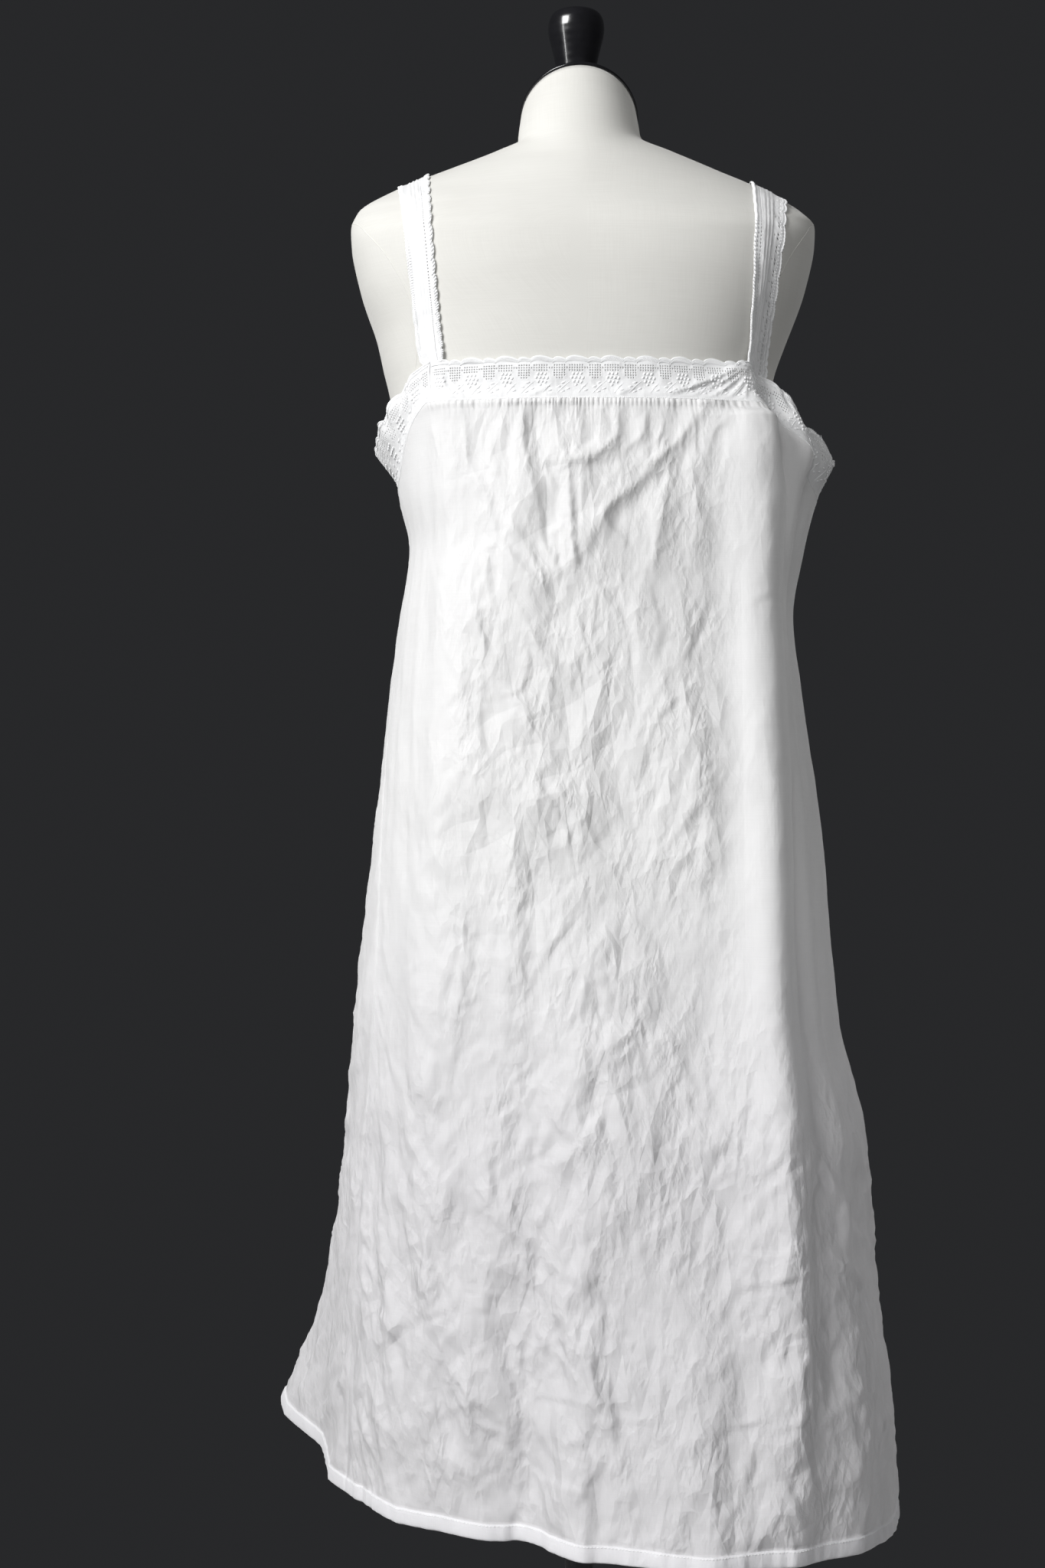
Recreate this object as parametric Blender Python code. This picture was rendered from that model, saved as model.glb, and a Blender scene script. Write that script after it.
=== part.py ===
# Sleeveless linen dress with embroidered lace edging, worn by a limbless dress form on a stand.
# Metres, +Z up. The pole stands on the Z axis and the floor is z = 0.
# The back of the dress faces -Y, and left and right are the wearer's: left is -X.

import math
from collections import namedtuple

import bmesh
import bpy
import numpy as np
from mathutils import Matrix, Vector
from mathutils.bvhtree import BVHTree

# Cloth
CLOTH = 0.0012
SEAM = 0.0003
SEAM_TURN = 0.06
HEM_Z = 0.280
HEM_WIDTH = 0.014
HEM_STEP = 0.0008
GATHERS = 54
GATHER_RISE = 0.0011
GATHER_LENGTH = 0.010
GATHER_FADE = 0.022

# Lace edging
SCALLOP_PITCH = 0.0156
SCALLOP_RISE = 0.0025
SCALLOP_SHAPE = (0.0, 0.8, 1.0, 0.8)
SCALLOP_CLEAR = 2.5
STRAP_LIFT = 0.0013
STRAP_END_GAP = 0.0006
STRAP_SCALLOPS = 20
STRAP_SCALLOP_RISE = 0.0013

# Mesh density, in steps
SIDE_STEPS = 9
GATHERED_STEPS = 36
SKIRT_ROWS = 12
FORM_SEGMENTS = 48
CAP_SEGMENTS = 32
KNOB_SEGMENTS = 24
BASE_SEGMENTS = 48
POLE_SEGMENTS = 20
EDGE_SAMPLES = 400
STRAP_PASSES = 3
SHARP_ANGLE = 40.0

# Dress form and stand
CAP_RADIUS = 0.0530
CAP_RIM = 0.003
CAP_DOME = 0.007
CAP_STEPS = (0.85, 0.65, 0.45)
KNOB_X = -0.002
KNOB_TOP_Z = 1.5960
POLE_RADIUS = 0.0125

# Turned profiles from the bottom up. The knob's heights are shares of its own height.
Turn = namedtuple("Turn", "radius height")
KNOB = (
    Turn(0.0172, 0.000),
    Turn(0.0172, 0.180),
    Turn(0.0172, 0.350),
    Turn(0.0176, 0.500),
    Turn(0.0226, 0.710),
    Turn(0.0252, 0.820),
    Turn(0.0256, 0.860),
    Turn(0.0248, 0.930),
    Turn(0.0215, 0.975),
    Turn(0.0150, 0.997),
    Turn(0.0080, 1.000),
)
BASE = (
    Turn(0.204, 0.000),
    Turn(0.205, 0.001),
    Turn(0.205, 0.007),
    Turn(0.201, 0.010),
    Turn(0.036, 0.022),
    Turn(0.026, 0.030),
    Turn(0.026, 0.073),
    Turn(0.024, 0.075),
)

# Outline of the dress seen from above at each height: half widths, depths, how far the right side swings
# back for each metre across (skew), and how square the corners are (2 is an ellipse).
Section = namedtuple("Section", "z left right back front skew square")
DRESS = (
    Section(1.264, 0.171, 0.179, 0.1130, 0.1180, 0.00, 2.60),
    Section(1.245, 0.173, 0.187, 0.1140, 0.1230, 0.00, 2.60),
    Section(1.225, 0.175, 0.197, 0.1150, 0.1290, 0.00, 2.60),
    Section(1.205, 0.178, 0.211, 0.1160, 0.1340, 0.00, 2.55),
    Section(1.184, 0.180, 0.222, 0.1175, 0.1380, 0.00, 2.50),
    Section(1.149, 0.158, 0.208, 0.1200, 0.1400, 0.00, 2.45),
    Section(1.105, 0.149, 0.198, 0.1230, 0.1410, 0.00, 2.45),
    Section(1.045, 0.157, 0.188, 0.1270, 0.1430, 0.01, 2.45),
    Section(0.985, 0.165, 0.194, 0.1310, 0.1470, 0.03, 2.45),
    Section(0.850, 0.181, 0.207, 0.1410, 0.1570, 0.08, 2.40),
    Section(0.750, 0.192, 0.213, 0.1500, 0.1660, 0.13, 2.40),
    Section(0.690, 0.198, 0.218, 0.1550, 0.1720, 0.16, 2.40),
    Section(0.640, 0.202, 0.229, 0.1600, 0.1770, 0.19, 2.40),
    Section(0.600, 0.205, 0.236, 0.1640, 0.1810, 0.21, 2.40),
    Section(0.500, 0.213, 0.240, 0.1720, 0.1900, 0.26, 2.40),
    Section(0.380, 0.222, 0.253, 0.1800, 0.2000, 0.31, 2.40),
    Section(0.280, 0.229, 0.256, 0.1850, 0.2060, 0.35, 2.40),
)

# Large folds: where each crosses the top and the hem, its half width, and how far it stands out at four
# heights (a negative depth is a trough). Angles are degrees from the centre back, the right side positive.
Fold = namedtuple("Fold", "at_top at_hem width top middle low hem")
FOLD_HEIGHTS = (0.28, 0.42, 0.72, 1.20)
FOLDS = (
    Fold(57.0, 50.0, 5.0, 0.0050, 0.0040, 0.0010, 0.0000),
    Fold(64.5, 58.0, 3.4, -0.0075, -0.0035, -0.0010, 0.0000),
    Fold(70.0, 66.0, 3.2, 0.0040, 0.0030, 0.0010, 0.0000),
    Fold(76.0, 74.0, 4.5, -0.0100, -0.0060, -0.0030, -0.0020),
    Fold(-50.0, -40.0, 6.0, 0.0040, 0.0050, 0.0010, 0.0000),
    Fold(-36.0, -36.0, 9.0, -0.0010, -0.0060, -0.0100, -0.0180),
    Fold(-12.0, -17.0, 9.5, 0.0000, -0.0040, -0.0180, -0.0300),
    Fold(0.0, -1.0, 4.0, 0.0000, 0.0010, 0.0040, 0.0060),
    Fold(50.0, 55.0, 20.0, 0.0000, 0.0000, -0.0100, -0.0220),
    Fold(12.0, 26.0, 10.0, 0.0000, -0.0020, 0.0060, 0.0120),
    Fold(88.0, 96.0, 12.0, 0.0000, 0.0060, 0.0100, 0.0130),
    Fold(118.0, 121.0, 11.0, 0.0000, -0.0060, -0.0150, -0.0220),
    Fold(140.0, 146.0, 12.0, 0.0000, 0.0060, 0.0180, 0.0260),
    Fold(168.0, 172.0, 10.0, 0.0000, -0.0040, -0.0130, -0.0200),
    Fold(-166.0, -162.0, 11.0, 0.0000, 0.0040, 0.0100, 0.0160),
    Fold(-112.0, -125.0, 17.5, 0.0000, 0.0100, 0.0510, 0.1190),
)

# Height of the seam under the lace edging and of the edging's free edge, by angle.
Rim = namedtuple("Rim", "angle seam edge")
RIM = (
    Rim(-180.0, 1.2090, 1.2440),
    Rim(-130.0, 1.2090, 1.2440),
    Rim(-120.5, 1.2000, 1.2360),
    Rim(-106.0, 1.1680, 1.2040),
    Rim(-90.0, 1.1490, 1.1840),
    Rim(-76.0, 1.1690, 1.2050),
    Rim(-68.0, 1.1960, 1.2300),
    Rim(-60.0, 1.2170, 1.2520),
    Rim(-50.4, 1.2245, 1.2600),
    Rim(57.3, 1.2245, 1.2600),
    Rim(66.2, 1.2130, 1.2480),
    Rim(70.5, 1.1960, 1.2300),
    Rim(75.2, 1.1820, 1.2170),
    Rim(82.6, 1.1640, 1.2000),
    Rim(90.0, 1.1490, 1.1840),
    Rim(106.0, 1.1640, 1.2000),
    Rim(120.5, 1.2000, 1.2360),
    Rim(130.0, 1.2090, 1.2440),
    Rim(180.0, 1.2090, 1.2440),
)

# Where the side seams run, as the share of the way down and the angle there.
SeamRun = namedtuple("SeamRun", "down left right")
SIDE_SEAMS = (
    SeamRun(0.00, -90.0, 90.0),
    SeamRun(0.30, -74.0, 93.0),
    SeamRun(0.55, -65.0, 97.0),
    SeamRun(1.00, -68.0, 102.0),
)

# Straps: angle of the inner and outer edge where each is sewn on, at the back and at the front, and the x
# of those edges on the shoulder.
Strap = namedtuple("Strap", "name back_inner back_outer front_inner front_outer top_inner top_outer")
STRAPS = (
    Strap("strap_left", -50.4, -60.0, -129.5, -120.5, -0.1315, -0.1605),
    Strap("strap_right", 57.3, 66.2, 129.5, 120.5, 0.1490, 0.1780),
)
STRAP_LINES = (0.0, 0.25, 0.5, 0.75, 1.0)
SHOULDER_SHARE = 0.45
LIFT_SHARE = 0.22

# Rings of the dress form from the bottom to the neck: half width, y of the sides, back and front, height
# of the sides, back and front, and how square the ring is.
Ring = namedtuple("Ring", "half y_side y_back y_front z_side z_back z_front square")
FORM = (
    Ring(0.138, 0.000, -0.098, 0.094, 0.8150, 0.8150, 0.8150, 2.2),
    Ring(0.154, 0.000, -0.112, 0.103, 0.8400, 0.8400, 0.8400, 2.2),
    Ring(0.158, 0.000, -0.117, 0.108, 0.9000, 0.9000, 0.9000, 2.2),
    Ring(0.144, 0.000, -0.103, 0.105, 0.9850, 0.9850, 0.9850, 2.2),
    Ring(0.124, 0.000, -0.083, 0.095, 1.0650, 1.0650, 1.0650, 2.2),
    Ring(0.134, 0.000, -0.092, 0.110, 1.1250, 1.1250, 1.1250, 2.3),
    Ring(0.147, 0.000, -0.100, 0.123, 1.1650, 1.1650, 1.1650, 2.3),
    Ring(0.159, 0.000, -0.106, 0.128, 1.2050, 1.2050, 1.2050, 2.4),
    Ring(0.169, 0.000, -0.1095, 0.116, 1.2500, 1.2500, 1.2500, 2.5),
    Ring(0.180, 0.000, -0.1105, 0.105, 1.2850, 1.2900, 1.2850, 2.5),
    Ring(0.196, -0.004, -0.1095, 0.093, 1.3280, 1.3330, 1.3200, 2.5),
    Ring(0.205, -0.007, -0.1040, 0.081, 1.3650, 1.3690, 1.3500, 2.5),
    Ring(0.206, -0.009, -0.0980, 0.073, 1.3840, 1.3830, 1.3700, 2.2),
    Ring(0.198, -0.010, -0.0920, 0.065, 1.3990, 1.3950, 1.3850, 1.9),
    Ring(0.166, -0.010, -0.0840, 0.056, 1.4200, 1.4110, 1.4000, 1.7),
    Ring(0.126, -0.008, -0.0755, 0.050, 1.4380, 1.4290, 1.4130, 1.65),
    Ring(0.088, -0.005, -0.0670, 0.048, 1.4550, 1.4430, 1.4250, 1.7),
    Ring(0.0565, 0.000, -0.0580, 0.054, 1.4700, 1.4640, 1.4380, 2.0),
    Ring(0.0530, 0.010, -0.0450, 0.066, 1.4790, 1.4930, 1.4455, 2.0),
    Ring(0.0515, 0.022, -0.0288, 0.0728, 1.4887, 1.5243, 1.4531, 2.0),
)
FORM_STEPS = (*range(8), *np.arange(8, 12, 0.5), *range(12, 18), 17.5, 18, 19)

# Colour, roughness and metallic value of each finish
Finish = namedtuple("Finish", "color roughness metallic")
FINISHES = {
    "white_linen": Finish((0.90, 0.90, 0.91), 0.85, 0.0),
    "white_lace": Finish((0.91, 0.91, 0.92), 0.80, 0.0),
    "form_canvas": Finish((0.80, 0.78, 0.72), 0.90, 0.0),
    "black_lacquer": Finish((0.010, 0.010, 0.011), 0.22, 0.0),
    "stand_metal": Finish((0.025, 0.025, 0.027), 0.45, 0.6),
}


def flow(x, xs, ys):
    """Smooth curve through the points (xs, ys) that doesn't overshoot them, read at x."""
    x, xs, ys = np.asarray(x, float), np.asarray(xs, float), np.asarray(ys, float)
    step = np.diff(xs)
    slope = np.diff(ys) / step
    before, after = slope[:-1], slope[1:]
    rising = before * after > 0
    weight_before, weight_after = 2 * step[1:] + step[:-1], step[1:] + 2 * step[:-1]
    inverse = weight_before / np.where(rising, before, 1) + weight_after / np.where(rising, after, 1)
    inner = np.where(rising, (weight_before + weight_after) / np.where(rising, inverse, 1), 0)
    tangent = np.concatenate(([slope[0]], inner, [slope[-1]]))
    i = np.clip(np.searchsorted(xs, x) - 1, 0, len(xs) - 2)
    t = np.clip((x - xs[i]) / step[i], 0, 1)
    start = (1 + 2 * t) * (1 - t) ** 2 * ys[i] + t * (1 - t) ** 2 * step[i] * tangent[i]
    end = t * t * (3 - 2 * t) * ys[i + 1] - t * t * (1 - t) * step[i] * tangent[i + 1]
    return start + end


def column(rows, name):
    return [getattr(row, name) for row in rows]


def wrapped(angle):
    return (np.asarray(angle, float) + 180) % 360 - 180


def rim_height(angle, line):
    return flow(wrapped(angle), column(RIM, "angle"), column(RIM, line))


def side_seam(down, side):
    return flow(down, column(SIDE_SEAMS, "down"), column(SIDE_SEAMS, side))


def fold_relief(angle, z):
    """How far the large folds stand out at an angle and a height."""
    total = np.zeros(np.broadcast(angle, z).shape)
    down = (FOLD_HEIGHTS[-1] - z) / (FOLD_HEIGHTS[-1] - FOLD_HEIGHTS[0])
    for fold in FOLDS:
        middle = fold.at_top + (fold.at_hem - fold.at_top) * np.clip(down, 0, 1)
        depth = flow(z, FOLD_HEIGHTS, (fold.hem, fold.low, fold.middle, fold.top))
        total = total + depth * np.exp(-((wrapped(angle - middle) / fold.width) ** 2))
    return total


def dress_point(angle, z, out=0.0):
    """Point on the dress at an angle from the centre back and a height, moved out level by out."""
    angle, z = np.broadcast_arrays(np.asarray(angle, float), np.asarray(z, float))
    heights = column(DRESS, "z")[::-1]
    left, right, back, front, skew, square = (
        flow(z, heights, column(DRESS, name)[::-1]) for name in Section._fields[1:]
    )

    def outline(at):
        sine, cosine = np.sin(np.radians(at)), np.cos(np.radians(at))
        across = np.abs(sine) / np.where(sine >= 0, right, left)
        along = np.abs(cosine) / np.where(cosine >= 0, back, front)
        reach = (across**square + along**square) ** (-1 / square) + fold_relief(at, z)
        return reach * sine, -reach * cosine - skew * reach * sine

    nudge = 0.05
    x, y = outline(angle)
    x_on, y_on = outline(angle + nudge)
    x_off, y_off = outline(angle - nudge)
    run_x, run_y = x_on - x_off, y_on - y_off
    length = np.hypot(run_x, run_y)
    return np.stack((x + out * run_y / length, y - out * run_x / length, z), axis=-1)


def clear_scene():
    for obj in list(bpy.data.objects):
        bpy.data.objects.remove(obj)


def finish_material(name):
    if name in bpy.data.materials:
        return bpy.data.materials[name]
    finish = FINISHES[name]
    material = bpy.data.materials.new(name)
    material.use_nodes = True
    shader = material.node_tree.nodes["Principled BSDF"]
    shader.inputs["Base Color"].default_value = (*finish.color, 1)
    shader.inputs["Roughness"].default_value = finish.roughness
    shader.inputs["Metallic"].default_value = finish.metallic
    return material


def add_object(name, bm, finish):
    """Makes a named object of a closed bmesh, with its faces turned out."""
    bmesh.ops.recalc_face_normals(bm, faces=bm.faces)
    mesh = bpy.data.meshes.new(name)
    bm.to_mesh(mesh)
    bm.free()
    mesh.shade_smooth()
    mesh.set_sharp_from_angle(angle=math.radians(SHARP_ANGLE))
    mesh.materials.append(finish_material(finish))
    obj = bpy.data.objects.new(name, mesh)
    bpy.context.scene.collection.objects.link(obj)
    return obj


def stitch(bm, upper, lower):
    """Joins two rows of vertices, each with its place along the row, with triangles."""
    i, j = 0, 0
    last_upper, last_lower = len(upper) - 1, len(lower) - 1
    while i < last_upper or j < last_lower:
        if i < last_upper:
            next_upper = upper[i][0] + upper[i + 1][0]
        if j < last_lower:
            next_lower = lower[j][0] + lower[j + 1][0]
        if j == last_lower or (i < last_upper and next_upper <= next_lower):
            bm.faces.new((upper[i][1], upper[i + 1][1], lower[j][1]))
            i += 1
        else:
            bm.faces.new((upper[i][1], lower[j + 1][1], lower[j][1]))
            j += 1


def wall(name, outer, inner, finish):
    """Closed wall of cloth between its outer and inner rows.

    A row is its own place down the wall, the places of its points along it, and the points.
    """
    bm = bmesh.new()
    outside, inside = (
        [[(place, bm.verts.new(point)) for place, point in zip(places, points)] for _, places, points in side]
        for side in (outer, inner)
    )
    for rows in (outside, inside):
        for upper, lower in zip(rows, rows[1:]):
            stitch(bm, upper, lower)
    stitch(bm, inside[0], outside[0])
    stitch(bm, outside[-1], inside[-1])
    for end in (0, -1):
        outer_end, inner_end = (
            [(row[0], corner[end][1]) for row, corner in zip(side, corners)]
            for side, corners in ((outer, outside), (inner, inside))
        )
        stitch(bm, outer_end, inner_end)
    add_object(name, bm, finish)


def lofted(bm, rings):
    """Skins closed rings of points with quads and caps both ends."""
    rows = [[bm.verts.new(point) for point in ring] for ring in rings]
    for lower, upper in zip(rows, rows[1:]):
        for i in range(len(lower)):
            after = (i + 1) % len(lower)
            bm.faces.new((lower[i], lower[after], upper[after], upper[i]))
    bm.faces.new(rows[0][::-1])
    bm.faces.new(rows[-1])


def turned(name, profile, segments, finish, centre=(0.0, 0.0, 0.0), tilt=0.0, oval=1.0, foot_slope=0.0):
    """Solid turned from (radius, height) pairs about Z, tilted about X and moved to centre.

    It is oval times as deep as it is wide, and its foot is cut at foot_slope to stand on a slanting face.
    """
    bm = bmesh.new()
    turn = 2 * math.pi / segments
    placed = Matrix.Translation(centre) @ Matrix.Rotation(tilt, 4, "X")
    rings = []
    for radius, height in profile:
        slope = 0.0 if rings else foot_slope
        around = [(radius * math.cos(k * turn), radius * oval * math.sin(k * turn)) for k in range(segments)]
        rings.append([placed @ Vector((x, y, height + slope * y)) for x, y in around])
    lofted(bm, rings)
    return add_object(name, bm, finish)


def form_ring(level, segments):
    """Closed ring of the dress form at a level, counted in rows of FORM and read between them."""
    levels = range(len(FORM))
    half, y_side, y_back, y_front, z_side, z_back, z_front, square = (
        flow(level, levels, column(FORM, name)) for name in Ring._fields
    )
    angle = 2 * math.pi * np.arange(segments) / segments
    sine, cosine = np.sin(angle), np.cos(angle)
    x = half * np.sign(sine) * np.abs(sine) ** (2 / square)
    share = np.abs(cosine) ** (2 / square)
    y = y_side + share * np.where(cosine > 0, y_back - y_side, y_front - y_side)
    z = z_side + cosine * (z_back - z_front) / 2 + cosine**2 * ((z_back + z_front) / 2 - z_side)
    return np.stack((x, y, z), axis=-1)


def form_surface():
    """Finely divided surface of the form, on which the straps are laid."""
    segments, per_level = 4 * FORM_SEGMENTS, 8
    levels = np.arange((len(FORM) - 1) * per_level + 1) / per_level
    rings = [form_ring(level, segments) for level in levels]
    points = [Vector(point) for ring in rings for point in ring]
    faces = []
    for row in range(len(rings) - 1):
        for i in range(segments):
            low, after = row * segments, (i + 1) % segments
            faces.append((low + i, low + after, low + segments + after, low + segments + i))
    return BVHTree.FromPolygons(points, faces)


def build_form():
    bm = bmesh.new()
    lofted(bm, [form_ring(level, FORM_SEGMENTS) for level in FORM_STEPS])
    add_object("form_torso", bm, "form_canvas")

    top = FORM[-1]
    tilt = math.atan2(top.z_front - top.z_back, top.y_front - top.y_back)
    middle_y, middle_z = (top.y_front + top.y_back) / 2, (top.z_front + top.z_back) / 2
    seat = Vector((0.0, middle_y, middle_z))
    lean = Vector((0.0, -math.sin(tilt), math.cos(tilt)))
    oval = math.hypot(top.z_front - top.z_back, top.y_front - top.y_back) / (2 * top.half)
    dome = [(CAP_RADIUS * share, CAP_RIM + CAP_DOME * (1 - share**2)) for share in CAP_STEPS]
    cap = [(CAP_RADIUS, 0.0), (CAP_RADIUS, CAP_RIM), *dome]
    turned("neck_cap", cap, CAP_SEGMENTS, "black_lacquer", seat + lean * SEAM, tilt, oval)

    cap_top = dome[-1][1]
    foot = seat + lean * (2 * SEAM + cap_top) + Vector((KNOB_X, 0, 0))
    height = KNOB_TOP_Z - foot.z
    knob = [(radius, height * share) for radius, share in KNOB]
    turned("neck_knob", knob, KNOB_SEGMENTS, "black_lacquer", foot, foot_slope=math.tan(tilt))


def build_stand():
    turned("stand_base", BASE, BASE_SEGMENTS, "stand_metal")
    pole = ((POLE_RADIUS, BASE[-1].height + SEAM), (POLE_RADIUS, FORM[0].z_side - SEAM))
    turned("stand_pole", pole, POLE_SEGMENTS, "stand_metal")


def across(start, gathered, end, gathered_steps):
    """Angles across a panel, with a plain side at each end of the gathered stretch."""
    ends = (start, *gathered, end)
    counts = (SIDE_STEPS, gathered_steps, SIDE_STEPS)
    parts = [np.linspace(a, b, n, endpoint=False) for a, b, n in zip(ends, ends[1:], counts)]
    return np.concatenate((*parts, [end]))


def build_skirt(name, start, gathered, end):
    """One panel of the skirt, from the seam under the lace down to the turned hem."""
    length = RIM[0].seam - HEM_Z
    hem_top = 1 - HEM_WIDTH / length
    shares = np.linspace(GATHER_FADE / length, hem_top, SKIRT_ROWS)

    def row(down, steps=GATHERED_STEPS, out=0.0):
        angles = across(start(down) + SEAM_TURN, gathered, end(down) - SEAM_TURN, steps)
        top = rim_height(angles, "seam") - SEAM
        places = across(0.0, (1.0, 2.0), 3.0, steps)
        return down, places, dress_point(angles, top - down * (top - HEM_Z), out)

    gathers = np.zeros(2 * GATHERS + 2 * SIDE_STEPS + 1)
    gathers[SIDE_STEPS + 1 : SIDE_STEPS + 2 * GATHERS : 2] = GATHER_RISE
    outer = [
        row(0.0, 2 * GATHERS, gathers),
        row(GATHER_LENGTH / length, 2 * GATHERS, gathers),
        *(row(share) for share in shares),
        row(hem_top, out=HEM_STEP),
        row(1.0, out=HEM_STEP),
    ]
    inner = [row(share, out=-CLOTH) for share in (0.0, *shares, 1.0)]
    wall(name, outer, inner, "white_linen")


def scalloped_edge(start, end):
    """Angles and heights along the free edge of a strip of edging, in whole scallops."""
    dense = np.linspace(start, end, EDGE_SAMPLES)
    points = dress_point(dense, rim_height(dense, "edge"))
    walked = np.concatenate(([0], np.cumsum(np.linalg.norm(np.diff(points, axis=0), axis=1))))
    count = len(SCALLOP_SHAPE) * round(walked[-1] / SCALLOP_PITCH)
    angles = np.interp(np.linspace(0, walked[-1], count + 1), walked, dense)
    rise = SCALLOP_RISE * np.resize(SCALLOP_SHAPE, count + 1)
    for strap in STRAPS:
        for inner, outer in ((strap.back_inner, strap.back_outer), (strap.front_inner, strap.front_outer)):
            off_centre = np.abs(wrapped(angles) - (inner + outer) / 2)
            rise[off_centre < abs(inner - outer) / 2 + SCALLOP_CLEAR] = 0
    return angles, rim_height(angles, "edge") + rise


def build_edging(name, start, end, seam_angles):
    """A strip of lace edging that stands on the seam and ends in scallops."""
    seam_angles = np.array(seam_angles)
    seam_angles[[0, -1]] = start + SEAM_TURN, end - SEAM_TURN
    seam, edge = rim_height(seam_angles, "seam"), rim_height(seam_angles, "edge")
    lines = (
        scalloped_edge(start + SEAM_TURN, end - SEAM_TURN),
        (seam_angles, (seam + edge) / 2),
        (seam_angles, seam),
    )
    outer = [(k, angles, dress_point(angles, z)) for k, (angles, z) in enumerate(lines)]
    inner = [(k, angles, dress_point(angles, z, -CLOTH)) for k, (angles, z) in enumerate(lines)]
    wall(name, outer, inner, "white_lace")


def laid_over(form, x, middle_z):
    """Points of the form from back to front over the shoulder at each x, and the way out at each."""
    hits, normals = np.zeros((len(x), 3)), np.zeros((len(x), 3))
    for i, swing in enumerate(np.linspace(0, math.pi, len(x))):
        away = Vector((0, -math.cos(swing), math.sin(swing)))
        hit, normal, _, _ = form.ray_cast(Vector((x[i], 0, middle_z[i])) + away, -away)
        hits[i] = hit
        normals[i] = normal if normal.dot(away) > 0 else -normal
    return hits, normals


def strap_line(strap, form, line):
    """Points of a strap's underside along one line, and the way out from the form at each."""
    count = len(SCALLOP_SHAPE) * STRAP_SCALLOPS
    share = np.arange(count + 1) / count
    back = strap.back_inner + line * (strap.back_outer - strap.back_inner)
    front = strap.front_inner + line * (strap.front_outer - strap.front_inner)
    start, end = (dress_point(angle, rim_height(angle, "edge") + STRAP_END_GAP) for angle in (back, front))
    foot = np.where(share[:, None] < SHOULDER_SHARE, start, end)
    top_x = strap.top_inner + line * (strap.top_outer - strap.top_inner)
    middle_z = start[2] + (end[2] - start[2]) * share
    x = np.interp(share, (0, SHOULDER_SHARE, 1), (start[0], top_x, end[0]))
    for _ in range(STRAP_PASSES):
        height = laid_over(form, x, middle_z)[0][:, 2]
        climbed = np.clip((height - foot[:, 2]) / (height.max() - foot[:, 2]), 0, 1)
        x = foot[:, 0] + (top_x - foot[:, 0]) * climbed
    if line in (0, 1):
        scallops = STRAP_SCALLOP_RISE * np.resize(SCALLOP_SHAPE, count + 1)
        scallops[[0, -1]] = 0
        x = x + math.copysign(1, (line - 0.5) * top_x) * scallops
    hits, normals = laid_over(form, x, middle_z)
    thick = STRAP_LIFT + CLOTH
    near_back = np.clip(1 - share / LIFT_SHARE, 0, 1)[:, None] ** 2
    near_front = np.clip(1 - (1 - share) / LIFT_SHARE, 0, 1)[:, None] ** 2
    lift_back = start - hits[0] - normals[0] * thick
    lift_front = end - hits[-1] - normals[-1] * thick
    return share, hits + lift_back * near_back + lift_front * near_front, normals


def build_strap(strap, form):
    """A strap laid over the shoulder of the form, from the back edging to the front edging."""
    outer, inner = [], []
    for line in STRAP_LINES:
        step = 1 if line in (0, 1) else 2
        share, places, normals = (part[::step] for part in strap_line(strap, form, line))
        outer.append((line, share, places + normals * (STRAP_LIFT + CLOTH)))
        inner.append((line, share, places + normals * STRAP_LIFT))
    wall(strap.name, outer, inner, "white_lace")


def build_dress():
    left, right = STRAPS
    back = tuple((strap.back_inner + strap.back_outer) / 2 for strap in (left, right))
    front = tuple((strap.front_inner + strap.front_outer) / 2 % 360 for strap in (right, left))

    def left_seam(down):
        return side_seam(down, "left")

    def right_seam(down):
        return side_seam(down, "right")

    def left_seam_on(down):
        return side_seam(down, "left") + 360

    build_skirt("skirt_back", left_seam, back, right_seam)
    build_skirt("skirt_front", right_seam, front, left_seam_on)

    build_edging("band_back", *back, np.linspace(*back, GATHERED_STEPS + 1))
    build_edging("band_front", *front, np.linspace(*front, GATHERED_STEPS + 1))
    underarm_right = (back[1], right_seam(0), front[0])
    underarm_left = (front[1], left_seam_on(0), back[0] + 360)
    for name, (start, middle, end) in (("armhole_right", underarm_right), ("armhole_left", underarm_left)):
        to_middle = np.linspace(start, middle, SIDE_STEPS, endpoint=False)
        to_end = np.linspace(middle, end, SIDE_STEPS + 1)
        build_edging(name, start, end, np.concatenate((to_middle, to_end)))

    form = form_surface()
    for strap in STRAPS:
        build_strap(strap, form)


def main():
    clear_scene()
    build_form()
    build_stand()
    build_dress()


main()
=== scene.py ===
import math

import bpy
import numpy as np
from mathutils import Matrix, Vector
from mathutils.bvhtree import BVHTree


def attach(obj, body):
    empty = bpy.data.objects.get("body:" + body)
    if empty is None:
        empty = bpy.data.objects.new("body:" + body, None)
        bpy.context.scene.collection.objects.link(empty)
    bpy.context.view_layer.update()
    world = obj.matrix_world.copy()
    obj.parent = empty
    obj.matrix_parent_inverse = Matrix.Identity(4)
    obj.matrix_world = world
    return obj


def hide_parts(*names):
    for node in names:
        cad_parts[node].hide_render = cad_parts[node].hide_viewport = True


# A sleeveless white linen dress with lace edging on a limbless dress form, seen from the back.
# Metres in the CAD frame: +Z up, the back of the dress faces -Y. Sizes in the dictionaries say their unit.

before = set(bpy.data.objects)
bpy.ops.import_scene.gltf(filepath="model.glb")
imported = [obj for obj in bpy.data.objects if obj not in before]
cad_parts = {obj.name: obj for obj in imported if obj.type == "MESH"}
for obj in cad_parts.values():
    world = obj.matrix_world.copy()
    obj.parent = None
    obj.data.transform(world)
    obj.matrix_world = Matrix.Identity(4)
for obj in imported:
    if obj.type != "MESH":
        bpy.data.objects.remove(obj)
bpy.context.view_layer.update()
mm = 0.001


# Curves and noise


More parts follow.
